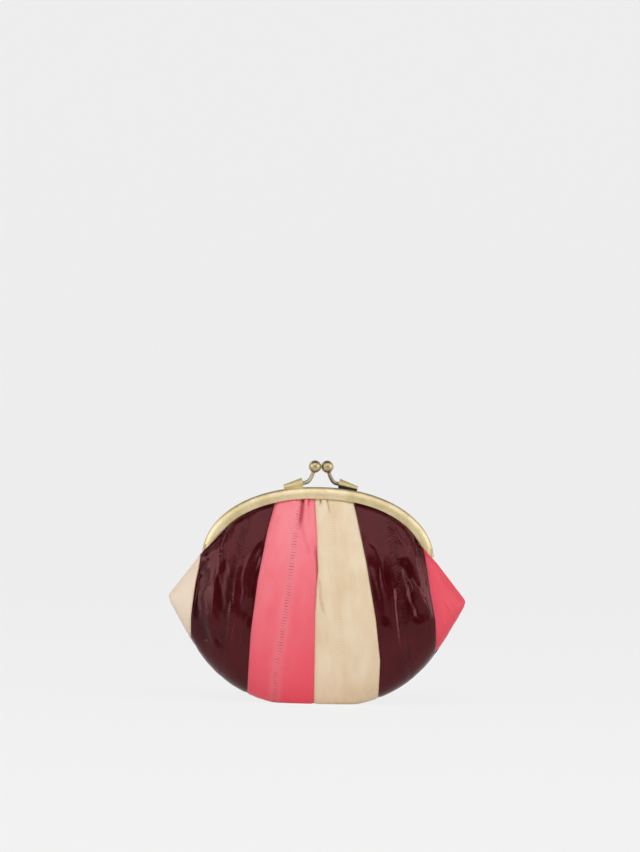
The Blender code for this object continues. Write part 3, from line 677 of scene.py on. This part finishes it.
# Sizes across and along the strip of each kind of wave and of their sway, the heights where they fade below the
# frame and above the bottom, and the shapes of the seams, the spine, the turned edge and the folds' ends.
relief = dict(
    broad=(8.5, 24.0), wrinkle=(3.4, 20.0), crumple=(3.6, 5.5), fine=(1.7, 9.0), sway=(14.0, 19.0, 2.2),
    fade=(88.0, 74.0, 12.0, 26.0), calm=0.35, rise=(9.0, 0.15), puffPower=0.8, puffRise=14.0, seam=(0.38, 0.55),
    spine=(0.08, 0.8), pucker=(0.2, 2.3, 2.6, 22.0), welt=(0.12, 1.3, 0.5), weltFrom=1.0, top=500, grip=0.03,
    lean=0.075, leanFrom=2.6, foldShade=(0.35, 1.2), held=(0.75, 0.03), away=9.0, foldEnd=0.12, pleatEnd=0.35,
)
toneReach = dict(full=85.0, side=0.45, top=75.0, fade=25.0)     # heights, and where the darker tone beside a strip's right seam, which is painted shade, starts
# Seeds of the noise, and steps up the grain from strip to strip, so that no two show the same.
seeds = dict(strip=7.3, back=51.7, sway=3, pucker=9, lining={front: 91, back: 17})
grainSteps = dict(strip=200, back=1500)
backPleats = ((-7.5, -0.7), (-4.4, -1.3), (-1.8, -0.8), (1.3, -0.7), (4.6, -0.9))     # x and height
backPleat = dict(half=0.55, low=81.0, fade=8.0)
lastStrip = len(strips) - 1


# a grid of columns by rows steps, bent to places[row, column]
def gridPiece(name, columns, rows, places):
    piece = newPiece(name, bpy.ops.mesh.primitive_grid_add, x_subdivisions=columns, y_subdivisions=rows, size=1)
    piece.data.vertices.foreach_set("co", (places * mm).astype(np.float32).ravel())
    piece.data.update()
    return piece


def normalsOf(places):
    normals = np.cross(np.gradient(places, axis=1), np.gradient(places, axis=0))
    return normals / np.maximum(np.linalg.norm(normals, axis=2, keepdims=True), 1e-6)


def climbedOf(places):
    steps = np.linalg.norm(np.diff(places, axis=0), axis=2)
    return np.concatenate([np.zeros((1, places.shape[1])), np.cumsum(steps, axis=0)])


def setPlace(piece, name, *values):
    attribute = piece.data.attributes.new(name, "FLOAT_VECTOR", "POINT")
    attribute.data.foreach_set("vector", np.stack(values, axis=2).astype(np.float32).ravel())


def addSheet(piece, name, thickness):
    wall = piece.modifiers.new(name, "SOLIDIFY")
    wall.thickness = thickness * mm
    wall.offset = -1
    return wall


# thickens a soft sheet inwards, gives it its material and hides the node it stands for
def finishSheet(piece, thickness, material, node):
    addSheet(piece, "thickness", thickness).use_even_offset = False
    applyAll(piece)
    smoothBy(piece, 60)
    dress(piece, material)
    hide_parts(node)


def hill(away, half):
    return np.exp(-(away / half) ** 2)


# each fold's height, and its shape from 0 to 1, over the places x and z
def foldShapes(strip, side, x, z, rise, spread):
    share, reach = relief["held"]     # the channel presses most of each pleat flat
    freed = 1 - share * np.clip((rise - purse["mouthShare"]) / reach, 0, 1)
    if side == back:
        for place, deep in backPleats:
            taper = np.clip((z - backPleat["low"]) / backPleat["fade"], 0, 1)
            yield deep, hill(x - place, backPleat["half"] + spread) * taper * freed
        return
    for line, half, deep in strip["folds"]:
        away, along = wayToLine(x, z, [fromPhoto(pixel) for pixel in line])
        taper = np.clip(np.minimum(along, 1 - along) / relief["foldEnd"], 0, 1)
        if line[0][1] < relief["top"]:
            taper = np.clip((1 - along) / relief["pleatEnd"], 0, 1)
        yield deep, hill(away, half + spread) * taper * freed


# Heights of the leather above its plain form, and how deep in a fold each place lies, which the skin's colour darkens
# as painted shade. free is 0 where the bow grips the leather.
def leatherHeights(strip, side, x, z, rise, climbed, shares, fromSeam, free, seed):
    middle = (x[:, :1] + x[:, -1:]) / 2
    wide, tall, far = relief["sway"]
    sway = far * latticeNoise((x - middle) / wide, climbed / tall, seed + seeds["sway"])
    high, midHigh, low, midLow = relief["fade"]
    busy = np.clip((high - z) / (high - midHigh), relief["calm"], 1)
    busy = busy * np.clip((z - low) / (midLow - low), relief["calm"], 1)
    height = np.zeros(x.shape)
    for number, kind in enumerate(("broad", "wrinkle", "fine", "crumple")):
        across, along = relief[kind]
        part = latticeNoise((x - middle + sway) / across, climbed / along, seed + number)
        height += strip[kind] * part * (1 if kind == "broad" else busy)
    height *= free * np.clip(climbed / relief["rise"][0], relief["rise"][1], 1)
    swell = np.clip(4 * shares * (1 - shares), 0, 1) ** relief["puffPower"]
    height += strip["puff"] * swell * free * np.clip(climbed / relief["puffRise"], 0, 1)
    height -= relief["seam"][0] * hill(fromSeam, relief["seam"][1])
    deep, wide, tall, outside = relief["pucker"]
    puckers = latticeNoise(x / wide, 0 * x, seed + seeds["pucker"])
    height += deep * puckers * hill(climbed, tall) * (np.abs(x) > outside)
    deep, place, half = relief["welt"]
    height -= deep * hill(climbed - place, half) * (z > relief["weltFrom"])
    # how deep in a fold each place lies, painted as shade in the skin's colour
    foldShade = np.zeros(x.shape)
    start, reach = relief["foldShade"]
    for deep, shape in foldShapes(strip, side, x, z, rise, 0):
        height += deep * shape
        foldShade = np.maximum(foldShade, shape * np.clip((-deep - start) / reach, 0, 1))
    return height, foldShade


def makeStrip(index, side):
    strip = strips[index]
    columns = strip["columns"]
    shares = np.linspace(0, 1, columns + 1)[None, :]
    rise = np.repeat(rises[:, None], columns + 1, axis=1)
    turn = blended(edges[index][:, None], edges[index + 1][:, None], shares)
    # the ear's point is rounded, so its outer columns lean away from the tip at both edges
    outwards = np.clip((np.abs(turn) - relief["leanFrom"]) / (earTip - relief["leanFrom"]), 0, 1)
    turn = np.sign(turn) * (np.abs(turn) - relief["lean"] * (2 * rise - 1) ** 2 * outwards)
    x, depth, z = pouchPlace(turn, rise, -outward[side])
    # at the ear's point the front and the back come together
    tip = {0: x[:, :1], lastStrip: x[:, -1:]}.get(index)
    if tip is not None:
        inwards = 1 - np.clip(np.abs(x - tip) / purse["turnedEdge"], 0, 1)
        depth = purse["touch"] + (depth - purse["touch"]) * np.sqrt(1 - inwards ** 2)
    places = np.stack([x, -depth, z], axis=2)
    normals, climbed = normalsOf(places), climbedOf(places)
    width = np.abs(x[:, -1] - x[:, 0])[:, None]
    fromSeam = width * {0: 1 - shares, lastStrip: shares}.get(index, np.minimum(shares, 1 - shares))
    free = np.clip((purse["mouthShare"] - rise) / relief["grip"], 0, 1)
    seed = index * seeds["strip"] + (0 if side == front else seeds["back"])
    height, foldShade = leatherHeights(strip, side, x, z, rise, climbed, shares, fromSeam, free, seed)
    fromSpine = np.full(x.shape, relief["away"])
    if strip["spine"]:
        line = sorted((fromPhoto(pixel) for pixel in strip["spine"]), key=lambda place: place[1])
        fromSpine = x - np.interp(z, *np.transpose(line)[::-1])
        height -= relief["spine"][0] * hill(fromSpine, relief["spine"][1]) * free
    places += normals * height[:, :, None]
    places[:, :, 2] = np.maximum(places[:, :, 2], 0)
    places[:, :, 1] = np.minimum(places[:, :, 1], -purse["touch"])
    # the back is the front turned half round, so its left and right change places
    word = strip["name"]
    if side == back:
        places[:, :, :2] *= -1
        word = word.replace("left", "other").replace("right", "left").replace("other", "right")
    piece = gridPiece(f"{side}_{word}_leather", columns, len(rises) - 1, places)
    apart = climbed + index * grainSteps["strip"] + (0 if side == front else grainSteps["back"])
    setPlace(piece, "skinPlace", fromSpine, apart, fromSeam)
    # the other tone: the ears take it all over, the left pink strip towards the bottom, and beside its right seam as
    # painted shade
    low, high, right = strip["toneShares"]
    beside = np.clip((shares - toneReach["side"]) / (1 - toneReach["side"]), 0, 1)
    beside = beside * np.clip((toneReach["top"] - z) / toneReach["fade"], 0, 1)
    toneAndSeamShade = np.clip(blended(low, high, np.clip(z / toneReach["full"], 0, 1)) + right * beside, 0, 1)
    setPlace(piece, "skinShadeAndTone", foldShade, toneAndSeamShade, np.zeros(x.shape))
    colour = strip["colour"]
    finishSheet(piece, purse["leather"], skins[colour], f"{side}_{word}_strip")
    return piece


for side in (front, back):
    for index in range(len(strips)):
        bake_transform(makeStrip(index, side))
print("leather strips made")


lining = dict(
    columns=150, rows=110, reach=2.12, cloth=0.4, ease=0.8, footShare=0.15 / 12, bodyShare=10 / 12, fold=0.3,
    slack=0.3, spread=0.45, level=0.12, foldSize=(7.0, 26.0), fade=(0.06, 0.2), wide=118.0, tall=104.0, seam=0.05,
)
# by the place across the purse, as in the tables of the leather
liningTops = ((0.88, 0.42), (1.0, 0.45), (1.12, 0.5), (1.25, 0.58), (1.42, 0.74), (1.55, 0.88), (1.7, 1.0))
liningFree = ((1.55, 0.6), (1.7, 0.0))
liningLips = ((1.55, 0.03), (1.7, 0.12))


def makeLining(side):
    columns, rows, mouth = lining["columns"], lining["rows"], purse["mouthShare"]
    reach = np.linspace(-lining["reach"], lining["reach"], columns + 1)
    turn, share = np.meshgrid(reach, np.linspace(0, 1, rows + 1))
    share = lining["footShare"] + share * (1 - lining["footShare"])
    across = 3 - np.abs(turn)
    top, lip = tableValue(liningTops, across), tableValue(liningLips, across)
    body = lining["bodyShare"]
    rise = np.where(share <= body, (top - lip) * share / body, top - lip + lip * (share - body) / (1 - body))
    x, depth, z = pouchPlace(turn, rise, -outward[side])
    belly = np.sqrt(np.maximum(0, np.sin(np.minimum(pi * rise / mouth, pi))))
    depth = depth - lining["ease"] * np.maximum(belly, tableValue(liningFree, across))
    places = np.stack([x, -depth, z], axis=2)
    # the cotton hangs in soft upright folds
    start, fade = lining["fade"]
    wide, tall = lining["foldSize"]
    folds = latticeNoise(x / wide, z / tall, seeds["lining"][side])
    folds = folds * np.clip((rise - start) / fade, 0, 1) * np.clip((mouth - start - rise) / fade, 0, 1)
    inwards = purse["leather"] + purse["clearance"] + lining["fold"] * (1 + folds)
    # and is pushed in where the leather is pleated
    push = np.zeros(x.shape)
    for strip in strips:
        for deep, shape in foldShapes(strip, side, x, z, rise, lining["spread"]):
            if -deep > lining["slack"]:
                push = np.maximum(push, -deep * shape)
    inwards = inwards + push
    # near the mouth it lies straight behind the leather, as in the channel
    level = np.clip((rise - mouth) / lining["level"] + 1, 0, 1)[:, :, None]
    outwards = blended(normalsOf(places), np.array((0.0, -1.0, 0.0)), level)
    places -= outwards / np.linalg.norm(outwards, axis=2, keepdims=True) * inwards[:, :, None]
    places[:, :, 1] = np.minimum(places[:, :, 1], -lining["seam"])
    if side == back:
        places[:, :, :2] *= -1
    piece = gridPiece(side + "_cotton_lining", columns, rows, places)
    setPlace(piece, "skinPlace", x, climbedOf(places), z)
    finishSheet(piece, lining["cloth"], cotton, side + "_lining")
    corner = np.cross(places[1:, :-1] - places[:-1, :-1], places[:-1, 1:] - places[:-1, :-1])
    return piece, float(np.linalg.norm(corner, axis=2).sum())


for side in (front, back):
    piece, area = makeLining(side)
    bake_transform(piece)
    print(side, "lining", round(area), "square mm")
print("linings made")


bow = dict(
    segments=150, shoulder=1.9, shoulderSpan=3.3, backShoulder=0.7, wallSteps=4, arcSteps=9, edge=0.14, welt=(2, 60),
    lugRadius=2.5, lugSheet=1.0, lugReach=4.0, lugHeel=30.0, lugSteps=40, holeSteps=32, smooth=40,
    rivet=0.85, rivetHead=1.7, rivetRise=0.8, rivetSides=40, dome=0.35, domeShape=(4, 60),
)
channelEnd = bow["lugRadius"] + purse["clearance"]
lugOutside = purse["halfWidth"] - purse["sheet"] - purse["clearance"]
lugPitch = bow["lugSheet"] + purse["clearance"]


# into edit mode with only the wanted faces selected
def editFaces(piece, wanted):
    selectOnly(piece)
    bpy.ops.object.mode_set(mode="EDIT")
    bpy.ops.mesh.select_mode(type="FACE")
    bpy.ops.mesh.select_all(action="DESELECT")
    bpy.ops.object.mode_set(mode="OBJECT")
    for face in piece.data.polygons:
        face.select = wanted(face)
    bpy.ops.object.mode_set(mode="EDIT")


def extrude(*way):
    bpy.ops.mesh.extrude_region_move(TRANSFORM_OT_translate={"value": way})


def ring(radius, steps):
    return [(radius * cos(2 * pi * i / steps), radius * sin(2 * pi * i / steps)) for i in range(steps)]


def addLoop(piece, points, closed):
    spline = piece.data.splines.new("POLY")
    spline.points.add(len(points) - 1)
    for slot, point in zip(spline.points, points):
        slot.co = (*(mm * value for value in point), *[0.0] * (3 - len(point)), 1.0)
    spline.use_cyclic_u = closed


def newCurve(name, points, flat=True, closed=False):
    piece = newPiece(name, bpy.ops.curve.primitive_nurbs_path_add)
    piece.data.splines.clear()
    piece.data.dimensions = "2D" if flat else "3D"
    addLoop(piece, points, closed)
    return piece


# sweeps a profile along a curve and makes the curve a mesh
def sweep(piece, profile):
    piece.data.bevel_mode = "OBJECT"
    piece.data.bevel_object = profile
    asMesh(piece)
    bpy.data.objects.remove(profile)


def bevelEdges(piece, name, width, segments, degrees):
    rounding = piece.modifiers.new(name, "BEVEL")
    rounding.width = width * mm
    rounding.segments = segments
    rounding.limit_method = "ANGLE"
    rounding.angle_limit = radians(degrees)


def finishPiece(piece, degrees, material, body, node=None):
    smoothBy(piece, degrees)
    dress(piece, material)
    if node:
        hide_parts(node)
    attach(piece, body)


# outer skin of the channel: from its mouth outwards, and towards its front
def channelProfile():
    half, band = purse["bowDepth"] / 2, purse["band"]
    flat = band - bow["shoulderSpan"]
    points = []
    for i in range(bow["wallSteps"] + 1):
        share = i / bow["wallSteps"]
        points.append((share * flat, half - purse["camber"] * (1 - share) ** 2))
    shoulders = ((bow["shoulder"], bow["shoulderSpan"], 1), (bow["backShoulder"], bow["backShoulder"], -1))
    for radius, span, sign in shoulders:
        arc = []
        for i in range(bow["arcSteps"] + 1):
            turn = pi / 2 * i / bow["arcSteps"]
            arc.append((band - span + span * sin(turn), sign * (half - radius + radius * cos(turn))))
        points += arc[1:] if sign > 0 else arc[::-1]
    points.append((0.0, -half))
    return points


def makeLug(sign, xSign):
    weld, radius, steps = purse["sheet"] / 2, bow["lugRadius"], bow["lugSteps"]
    near, far = sign * (bowInner + weld), sign * (bowOuter - weld)
    neck = np.arccos(abs(near) / radius)
    outline = [(near, channelEnd + bow["lugReach"])]
    start = pi / 2 - sign * (pi / 2 - neck)
    swept = sign * (neck + pi / 2 + radians(bow["lugHeel"]))
    for i in range(steps + 1):
        turn = start + swept * i / steps
        outline.append((radius * cos(turn), radius * sin(turn)))
    outline += [(far, channelEnd / 2), (far, channelEnd + bow["lugReach"])]
    lug = newCurve("lug", outline, closed=True)
    addLoop(lug, ring(bow["rivet"] + purse["clearance"] / 2, bow["holeSteps"]), True)
    lug.data.fill_mode = "BOTH"
    lug.data.extrude = bow["lugSheet"] / 2 * mm
    x = xSign * (lugOutside - bow["lugSheet"] / 2 - (0.0 if sign < 0 else lugPitch))
    lug.matrix_world = Matrix(((0, 0, 1, x * mm), (1, 0, 0, 0), (0, 1, 0, purse["hinge"] * mm), (0, 0, 0, 1)))
    asMesh(lug)
    outwardNormals(lug)
    return lug


def makeBow(side):
    sign = outward[side]
    path = np.transpose(bowPlace(bowAngles(channelEnd, bow["segments"]), purse["band"])).tolist()
    piece = newCurve(side + "_brass_bow", path)
    piece.data.fill_mode = "NONE"
    piece.matrix_world = Matrix(((1, 0, 0, 0), (0, 0, sign, sign * bowMiddle * mm), (0, 1, 0, 0), (0, 0, 0, 1)))
    sweep(piece, newCurve("profile", channelProfile()))
    top = max(piece.data.polygons, key=lambda face: face.center.z)
    if top.normal.z < 0:
        editWhole(piece, (bpy.ops.mesh.flip_normals, {}))
    addSheet(piece, "sheet", purse["sheet"])
    bevelEdges(piece, "worn edges", bow["edge"], *bow["welt"])
    lugs = [makeLug(sign, xSign) for xSign in (-1, 1)]
    for lug in lugs:
        weld = piece.modifiers.new("lug", "BOOLEAN")
        weld.operation = "UNION"
        weld.object = lug
        weld.solver = "EXACT"
    applyAll(piece)
    for lug in lugs:
        bpy.data.objects.remove(lug)
    finishPiece(piece, bow["smooth"], brasses["frame"], side + "_frame", side + "_frame_bow")


for side in (front, back):
    makeBow(side)
print("bows made")


def makeRivet(word, xSign):
    outer = lugOutside + purse["clearance"]
    inner = lugOutside - bow["lugSheet"] - lugPitch - purse["clearance"]
    head, rise, pin = bow["rivetHead"], bow["rivetRise"], bow["rivet"]
    piece = newPiece(word + "_brass_rivet", bpy.ops.mesh.primitive_cylinder_add, (0, 0, (outer + rise / 2) * mm),
                     vertices=bow["rivetSides"], radius=head * mm, depth=rise * mm)
    applyPlace(piece)
    editFaces(piece, lambda face: face.normal.z < -0.9)
    bpy.ops.mesh.inset(thickness=(head - pin) * mm)
    extrude(0, 0, (inner - outer) * mm)
    extrude(0, 0, 0)
    bpy.ops.transform.resize(value=(head / pin, head / pin, 1), center_override=(0, 0, inner * mm))
    extrude(0, 0, -rise * mm)
    bpy.ops.object.mode_set(mode="OBJECT")
    bevelEdges(piece, "dome", bow["dome"], *bow["domeShape"])
    applyAll(piece)
    piece.location = (0, 0, purse["hinge"] * mm)
    piece.rotation_euler = (0, xSign * pi / 2, 0)
    applyPlace(piece)
    finishPiece(piece, bow["smooth"], brasses["ball"], "front_frame", word + "_hinge_rivet")


makeRivet("left", -1)
makeRivet("right", 1)
print("rivets made")


clasp = dict(
    shift=0.6, ball=2.77, ballRings=(56, 36), spread=5.44, ballRise=9.1, wire=0.85, wireSteps=40, sleeveLength=8.6,
    mouth=1.85, tail=0.85, sleeveSides=72, sheet=0.35, sleeveEdge=(0.07, 2, 50), tilt=13.5, mouthSpread=8.0,
    seatShare=0.84, ridgeShare=0.25, ridgePower=4, wireInSleeve=2.8, wireRun=2.6, wireReach=4.9, lean=16.0,
    socket=1.6, collar=0.35, collarReach=1.0, collarNarrow=0.84, collarSink=0.6, collarFlat=0.4,
    sleeveSmooth=25, smooth=50,
)
# On the back the seat is raised and widened into a black wedge, painted shadow under the right sleeve.
solder = dict(
    sink=0.12, cuts=11, lengthShare=0.97, up={front: (0.0, 0.0), back: (1.0, 0.35)}, wide={front: 0.62, back: 1.08},
    smooth=40,
)


def makeSolder(side, middle, axis, upwards):
    piece = newPiece(side + "_clasp_solder", bpy.ops.mesh.primitive_cube_add, size=1)
    editWhole(piece, (bpy.ops.mesh.subdivide, dict(number_cuts=solder["cuts"])))
    sink, length = solder["sink"], clasp["sleeveLength"] * solder["lengthShare"]
    for vert in piece.data.vertices:
        share = vert.co.x
        radius = blended(clasp["tail"], clasp["mouth"], share + 0.5)
        seat = middle + axis * (share * length) - upwards * (radius * clasp["seatShare"])
        low = bowTopAt(seat.x) - sink
        up = blended(*solder["up"][side][::-1], share + 0.5)
        high = max(low + sink, seat.z + sink + up)
        y = middle.y + vert.co.y * 2 * radius * solder["wide"][side]
        vert.co = Vector((seat.x, y, blended(low, high, vert.co.z + 0.5))) * mm
    outwardNormals(piece)
    finishPiece(piece, solder["smooth"], solderShadowMetal if side == back else brasses["sleeve"], side + "_frame")


# a cone of folded sheet with a flat seat, pinched to a ridge along its top
def makeSleeve(side, middle, axis, upwards):
    sleeve = newPiece(
        side + "_clasp_sleeve_sheet", bpy.ops.mesh.primitive_cone_add, vertices=clasp["sleeveSides"],
        radius1=clasp["tail"] * mm, radius2=clasp["mouth"] * mm, depth=clasp["sleeveLength"] * mm,
        end_fill_type="NOTHING",
    )
    for vert in sleeve.data.vertices:
        radius = vert.co.xy.length
        ridge = max(0.0, vert.co.y / radius) ** clasp["ridgePower"] * clasp["ridgeShare"]
        vert.co.x *= 1 - ridge
        vert.co.y = max(-radius * clasp["seatShare"], vert.co.y + radius * ridge)
    turned = Matrix((upwards.cross(axis), upwards, axis)).transposed()
    sleeve.matrix_world = Matrix.Translation(middle * mm) @ turned.to_4x4()
    applyPlace(sleeve)
    outwardNormals(sleeve)
    addSheet(sleeve, "sheet", clasp["sheet"])
    bevelEdges(sleeve, "edges", *clasp["sleeveEdge"])
    applyAll(sleeve)
    finishPiece(sleeve, clasp["sleeveSmooth"], brasses["sleeve"], side + "_frame", side + "_clasp_sleeve")


# out of the sleeve, level for a moment, then up into the ball
def makeWire(side, axis, handles):
    inside, steps = clasp["wireInSleeve"], clasp["wireSteps"]
    route = [handles[0] - axis * inside, handles[0] - axis * (inside / 2)]
    route += [bezier(*handles, i / steps) for i in range(steps + 1)]
    wire = newCurve(side + "_clasp_bent_wire", [tuple(place) for place in route], flat=False)
    wire.data.bevel_depth = clasp["wire"] * mm
    wire.data.bevel_resolution = 6
    wire.data.use_fill_caps = True
    asMesh(wire)
    outwardNormals(wire)
    finishPiece(wire, clasp["smooth"], brasses["wire"], side + "_frame", side + "_clasp_wire")


# turned, with a small collar where the wire is let in
def makeBall(side, place, intoBall):
    segments, rings = clasp["ballRings"]
    narrow = clasp["collarNarrow"]
    ball = newPiece(side + "_clasp_turned_ball", bpy.ops.mesh.primitive_uv_sphere_add, segments=segments,
                    ring_count=rings, radius=clasp["ball"] * mm)
    editFaces(ball, lambda face: face.center.z < 0 and face.center.xy.length < clasp["collarReach"] * mm)
    extrude(0, 0, -clasp["collar"] * mm)
    collarEnd = -(clasp["ball"] + clasp["collar"] * clasp["collarSink"]) * mm
    bpy.ops.transform.resize(value=(narrow, narrow, clasp["collarFlat"]), center_override=(0, 0, collarEnd))
    bpy.ops.object.mode_set(mode="OBJECT")
    ball.location = place * mm
    ball.rotation_euler = intoBall.to_track_quat("Z", "Y").to_euler()
    applyPlace(ball)
    finishPiece(ball, clasp["smooth"], brasses["ball"], side + "_frame", side + "_clasp_ball")


# one side's half of the clasp, whose sleeve lies left of the middle on the front and right of it on the back
def makeClasp(side):
    sign = outward[side]
    tilt, lean = radians(clasp["tilt"]), radians(clasp["lean"])
    axis = Vector((-sign * cos(tilt), 0, sin(tilt)))
    upwards = axis.cross(Vector((0, 1, 0))) * -sign
    middleX = clasp["shift"] + sign * clasp["mouthSpread"] - axis.x * clasp["sleeveLength"] / 2
    middleRadius = (clasp["mouth"] + clasp["tail"]) / 2
    seat = bowTopAt(middleX) + purse["clearance"]
    middle = Vector((middleX, sign * bowMiddle, seat + middleRadius * clasp["seatShare"]))
    touch = 2 * clasp["ball"] + purse["clearance"]
    cross = (touch ** 2 - clasp["spread"] ** 2) ** 0.5 / 2
    ballHeight = purse["hinge"] + purse["rise"] + clasp["ballRise"]
    ballPlace = Vector((clasp["shift"] + sign * clasp["spread"] / 2, sign * cross, ballHeight))
    intoBall = Vector((-sign * sin(lean), 0, cos(lean)))
    mouth = middle + axis * (clasp["sleeveLength"] / 2)
    end = ballPlace - intoBall * (clasp["ball"] - clasp["socket"])
    handles = (mouth, mouth + Vector((-sign, 0, 0)) * clasp["wireRun"], end - intoBall * clasp["wireReach"], end)
    makeSolder(side, middle, axis, upwards)
    makeSleeve(side, middle, axis, upwards)
    makeWire(side, axis, handles)
    makeBall(side, ballPlace, intoBall)


for side in (front, back):
    makeClasp(side)
print("clasp made")


cord = dict(radius=0.35, seat=2.2, endGap=1.2, segments=160, lobes=3, lobeRise=0.08, turns=38, sides=24, smooth=60)


def makeCord(side):
    angles = bowAngles(channelEnd + bow["lugReach"] + cord["endGap"], cord["segments"])
    y = outward[side] * (bowInner + purse["sheet"] + purse["clearance"] + cord["radius"])
    route = [(float(x), y, float(z)) for x, z in zip(*bowPlace(angles, purse["band"] - cord["seat"]))]
    section = []
    for across, up in ring(1.0, cord["sides"]):
        turn = cord["lobes"] * np.arctan2(up, across)
        radius = cord["radius"] - cord["lobeRise"] * (1 - cos(turn)) / 2
        section.append((radius * across, radius * up))
    piece = newCurve(side + "_twisted_paper_cord", route, flat=False)
    for i, point in enumerate(piece.data.splines[0].points):
        point.tilt = 2 * pi * cord["turns"] / cord["lobes"] * i / cord["segments"]
    piece.data.use_fill_caps = True
    sweep(piece, newCurve("profile", section, closed=True))
    outwardNormals(piece)
    finishPiece(piece, cord["smooth"], paper, side + "_frame", side + "_channel_cord")


for side in (front, back):
    makeCord(side)
print("cords made")


# A round paper sweep, open towards the camera, so that the glazed skin has something dark to mirror there.
stage = dict(
    radius=2.0, centre=0.001, bend=0.5, bendSteps=16, height=2.6, segments=96, opening=60.0, openingFade=12.0,
    colour="#f4f4f4", shown=0.9, rough=0.9,
)
lamps = (
    # name, place, width, height, watts
    ("key softbox", (0.1, -1.15, 1.25), 2.4, 1.5, 17.5),
    ("left softbox", (-1.2, -0.8, 0.45), 0.9, 0.9, 6.6),
    ("right softbox", (1.3, -0.7, 0.42), 0.8, 0.8, 6.4),
)
lampAim = (0, 0, 0.05)
worldLight = dict(colour="#ffffff", strength=0.11, shown=0.855)     # shown is what the camera sees beyond the paper


def makeStage():
    steps, radius, bend = stage["bendSteps"], stage["radius"], stage["bend"]
    line = [(stage["centre"], 0.0), (radius, 0.0)]
    for i in range(1, steps + 1):
        turn = pi / 2 * i / steps
        line.append((radius + bend * sin(turn), bend * (1 - cos(turn))))
    line.append((radius + bend, stage["height"]))
    columns, rows = stage["segments"], len(line) - 1
    floor = newPiece("paper_sweep", bpy.ops.mesh.primitive_grid_add, x_subdivisions=columns,
                     y_subdivisions=rows, size=1)
    for i, vert in enumerate(floor.data.vertices):
        away, height = line[i // (columns + 1)]
        turn = 2 * pi * (i % (columns + 1)) / columns     # from the camera's side round to it again
        fromCamera = min(turn, 2 * pi - turn)
        wall = min(1.0, max(0.0, (fromCamera - radians(stage["opening"])) / radians(stage["openingFade"])))
        vert.co = (away * sin(turn), -away * cos(turn), height * wall)
    outwardNormals(floor)
    floor.data.shade_smooth()
    paint = linear(stage["colour"])
    material, shader, add = newMaterial("backdrop_paper", {"Base Color": paint, "Roughness": stage["rough"]})
    # seen is 1 for rays from the camera, 3 and 6 are those mirrored and let through
    seen = add("LightPath")
    for i in (3, 6):
        seen = add("Math", [seen, add("LightPath", output=i)], operation="MAXIMUM")
    glow = add("Emission", {"Color": paint, "Strength": 1.0})
    share = add("Math", [seen, stage["shown"]], operation="MULTIPLY")
    mixed = add("MixShader", [share, shader.outputs[0], glow])
    fill(material.node_tree.nodes["Material Output"], [mixed])
    dress(floor, material)


makeStage()
for name, place, width, height, watts in lamps:
    lampData = bpy.data.lights.new(name, "AREA")
    lampData.shape = "RECTANGLE"
    lampData.size, lampData.size_y = width, height
    lampData.energy = watts
    lamp = bpy.data.objects.new(name, lampData)
    bpy.context.scene.collection.objects.link(lamp)
    lamp.location = place
    lamp.rotation_euler = (Vector(lampAim) - Vector(place)).to_track_quat("-Z", "Y").to_euler()
world = bpy.data.worlds.new("studio")
world.use_nodes = True
add = partial(addTo, world.node_tree)
strength = add("MapRange", [add("LightPath"), 0.0, 1.0, worldLight["strength"], worldLight["shown"]])
fill(world.node_tree.nodes["Background"], {"Color": linear(worldLight["colour"]), "Strength": strength})
bpy.context.scene.world = world
bpy.context.scene.view_settings.view_transform = "Standard"
print("stage and lamps set")
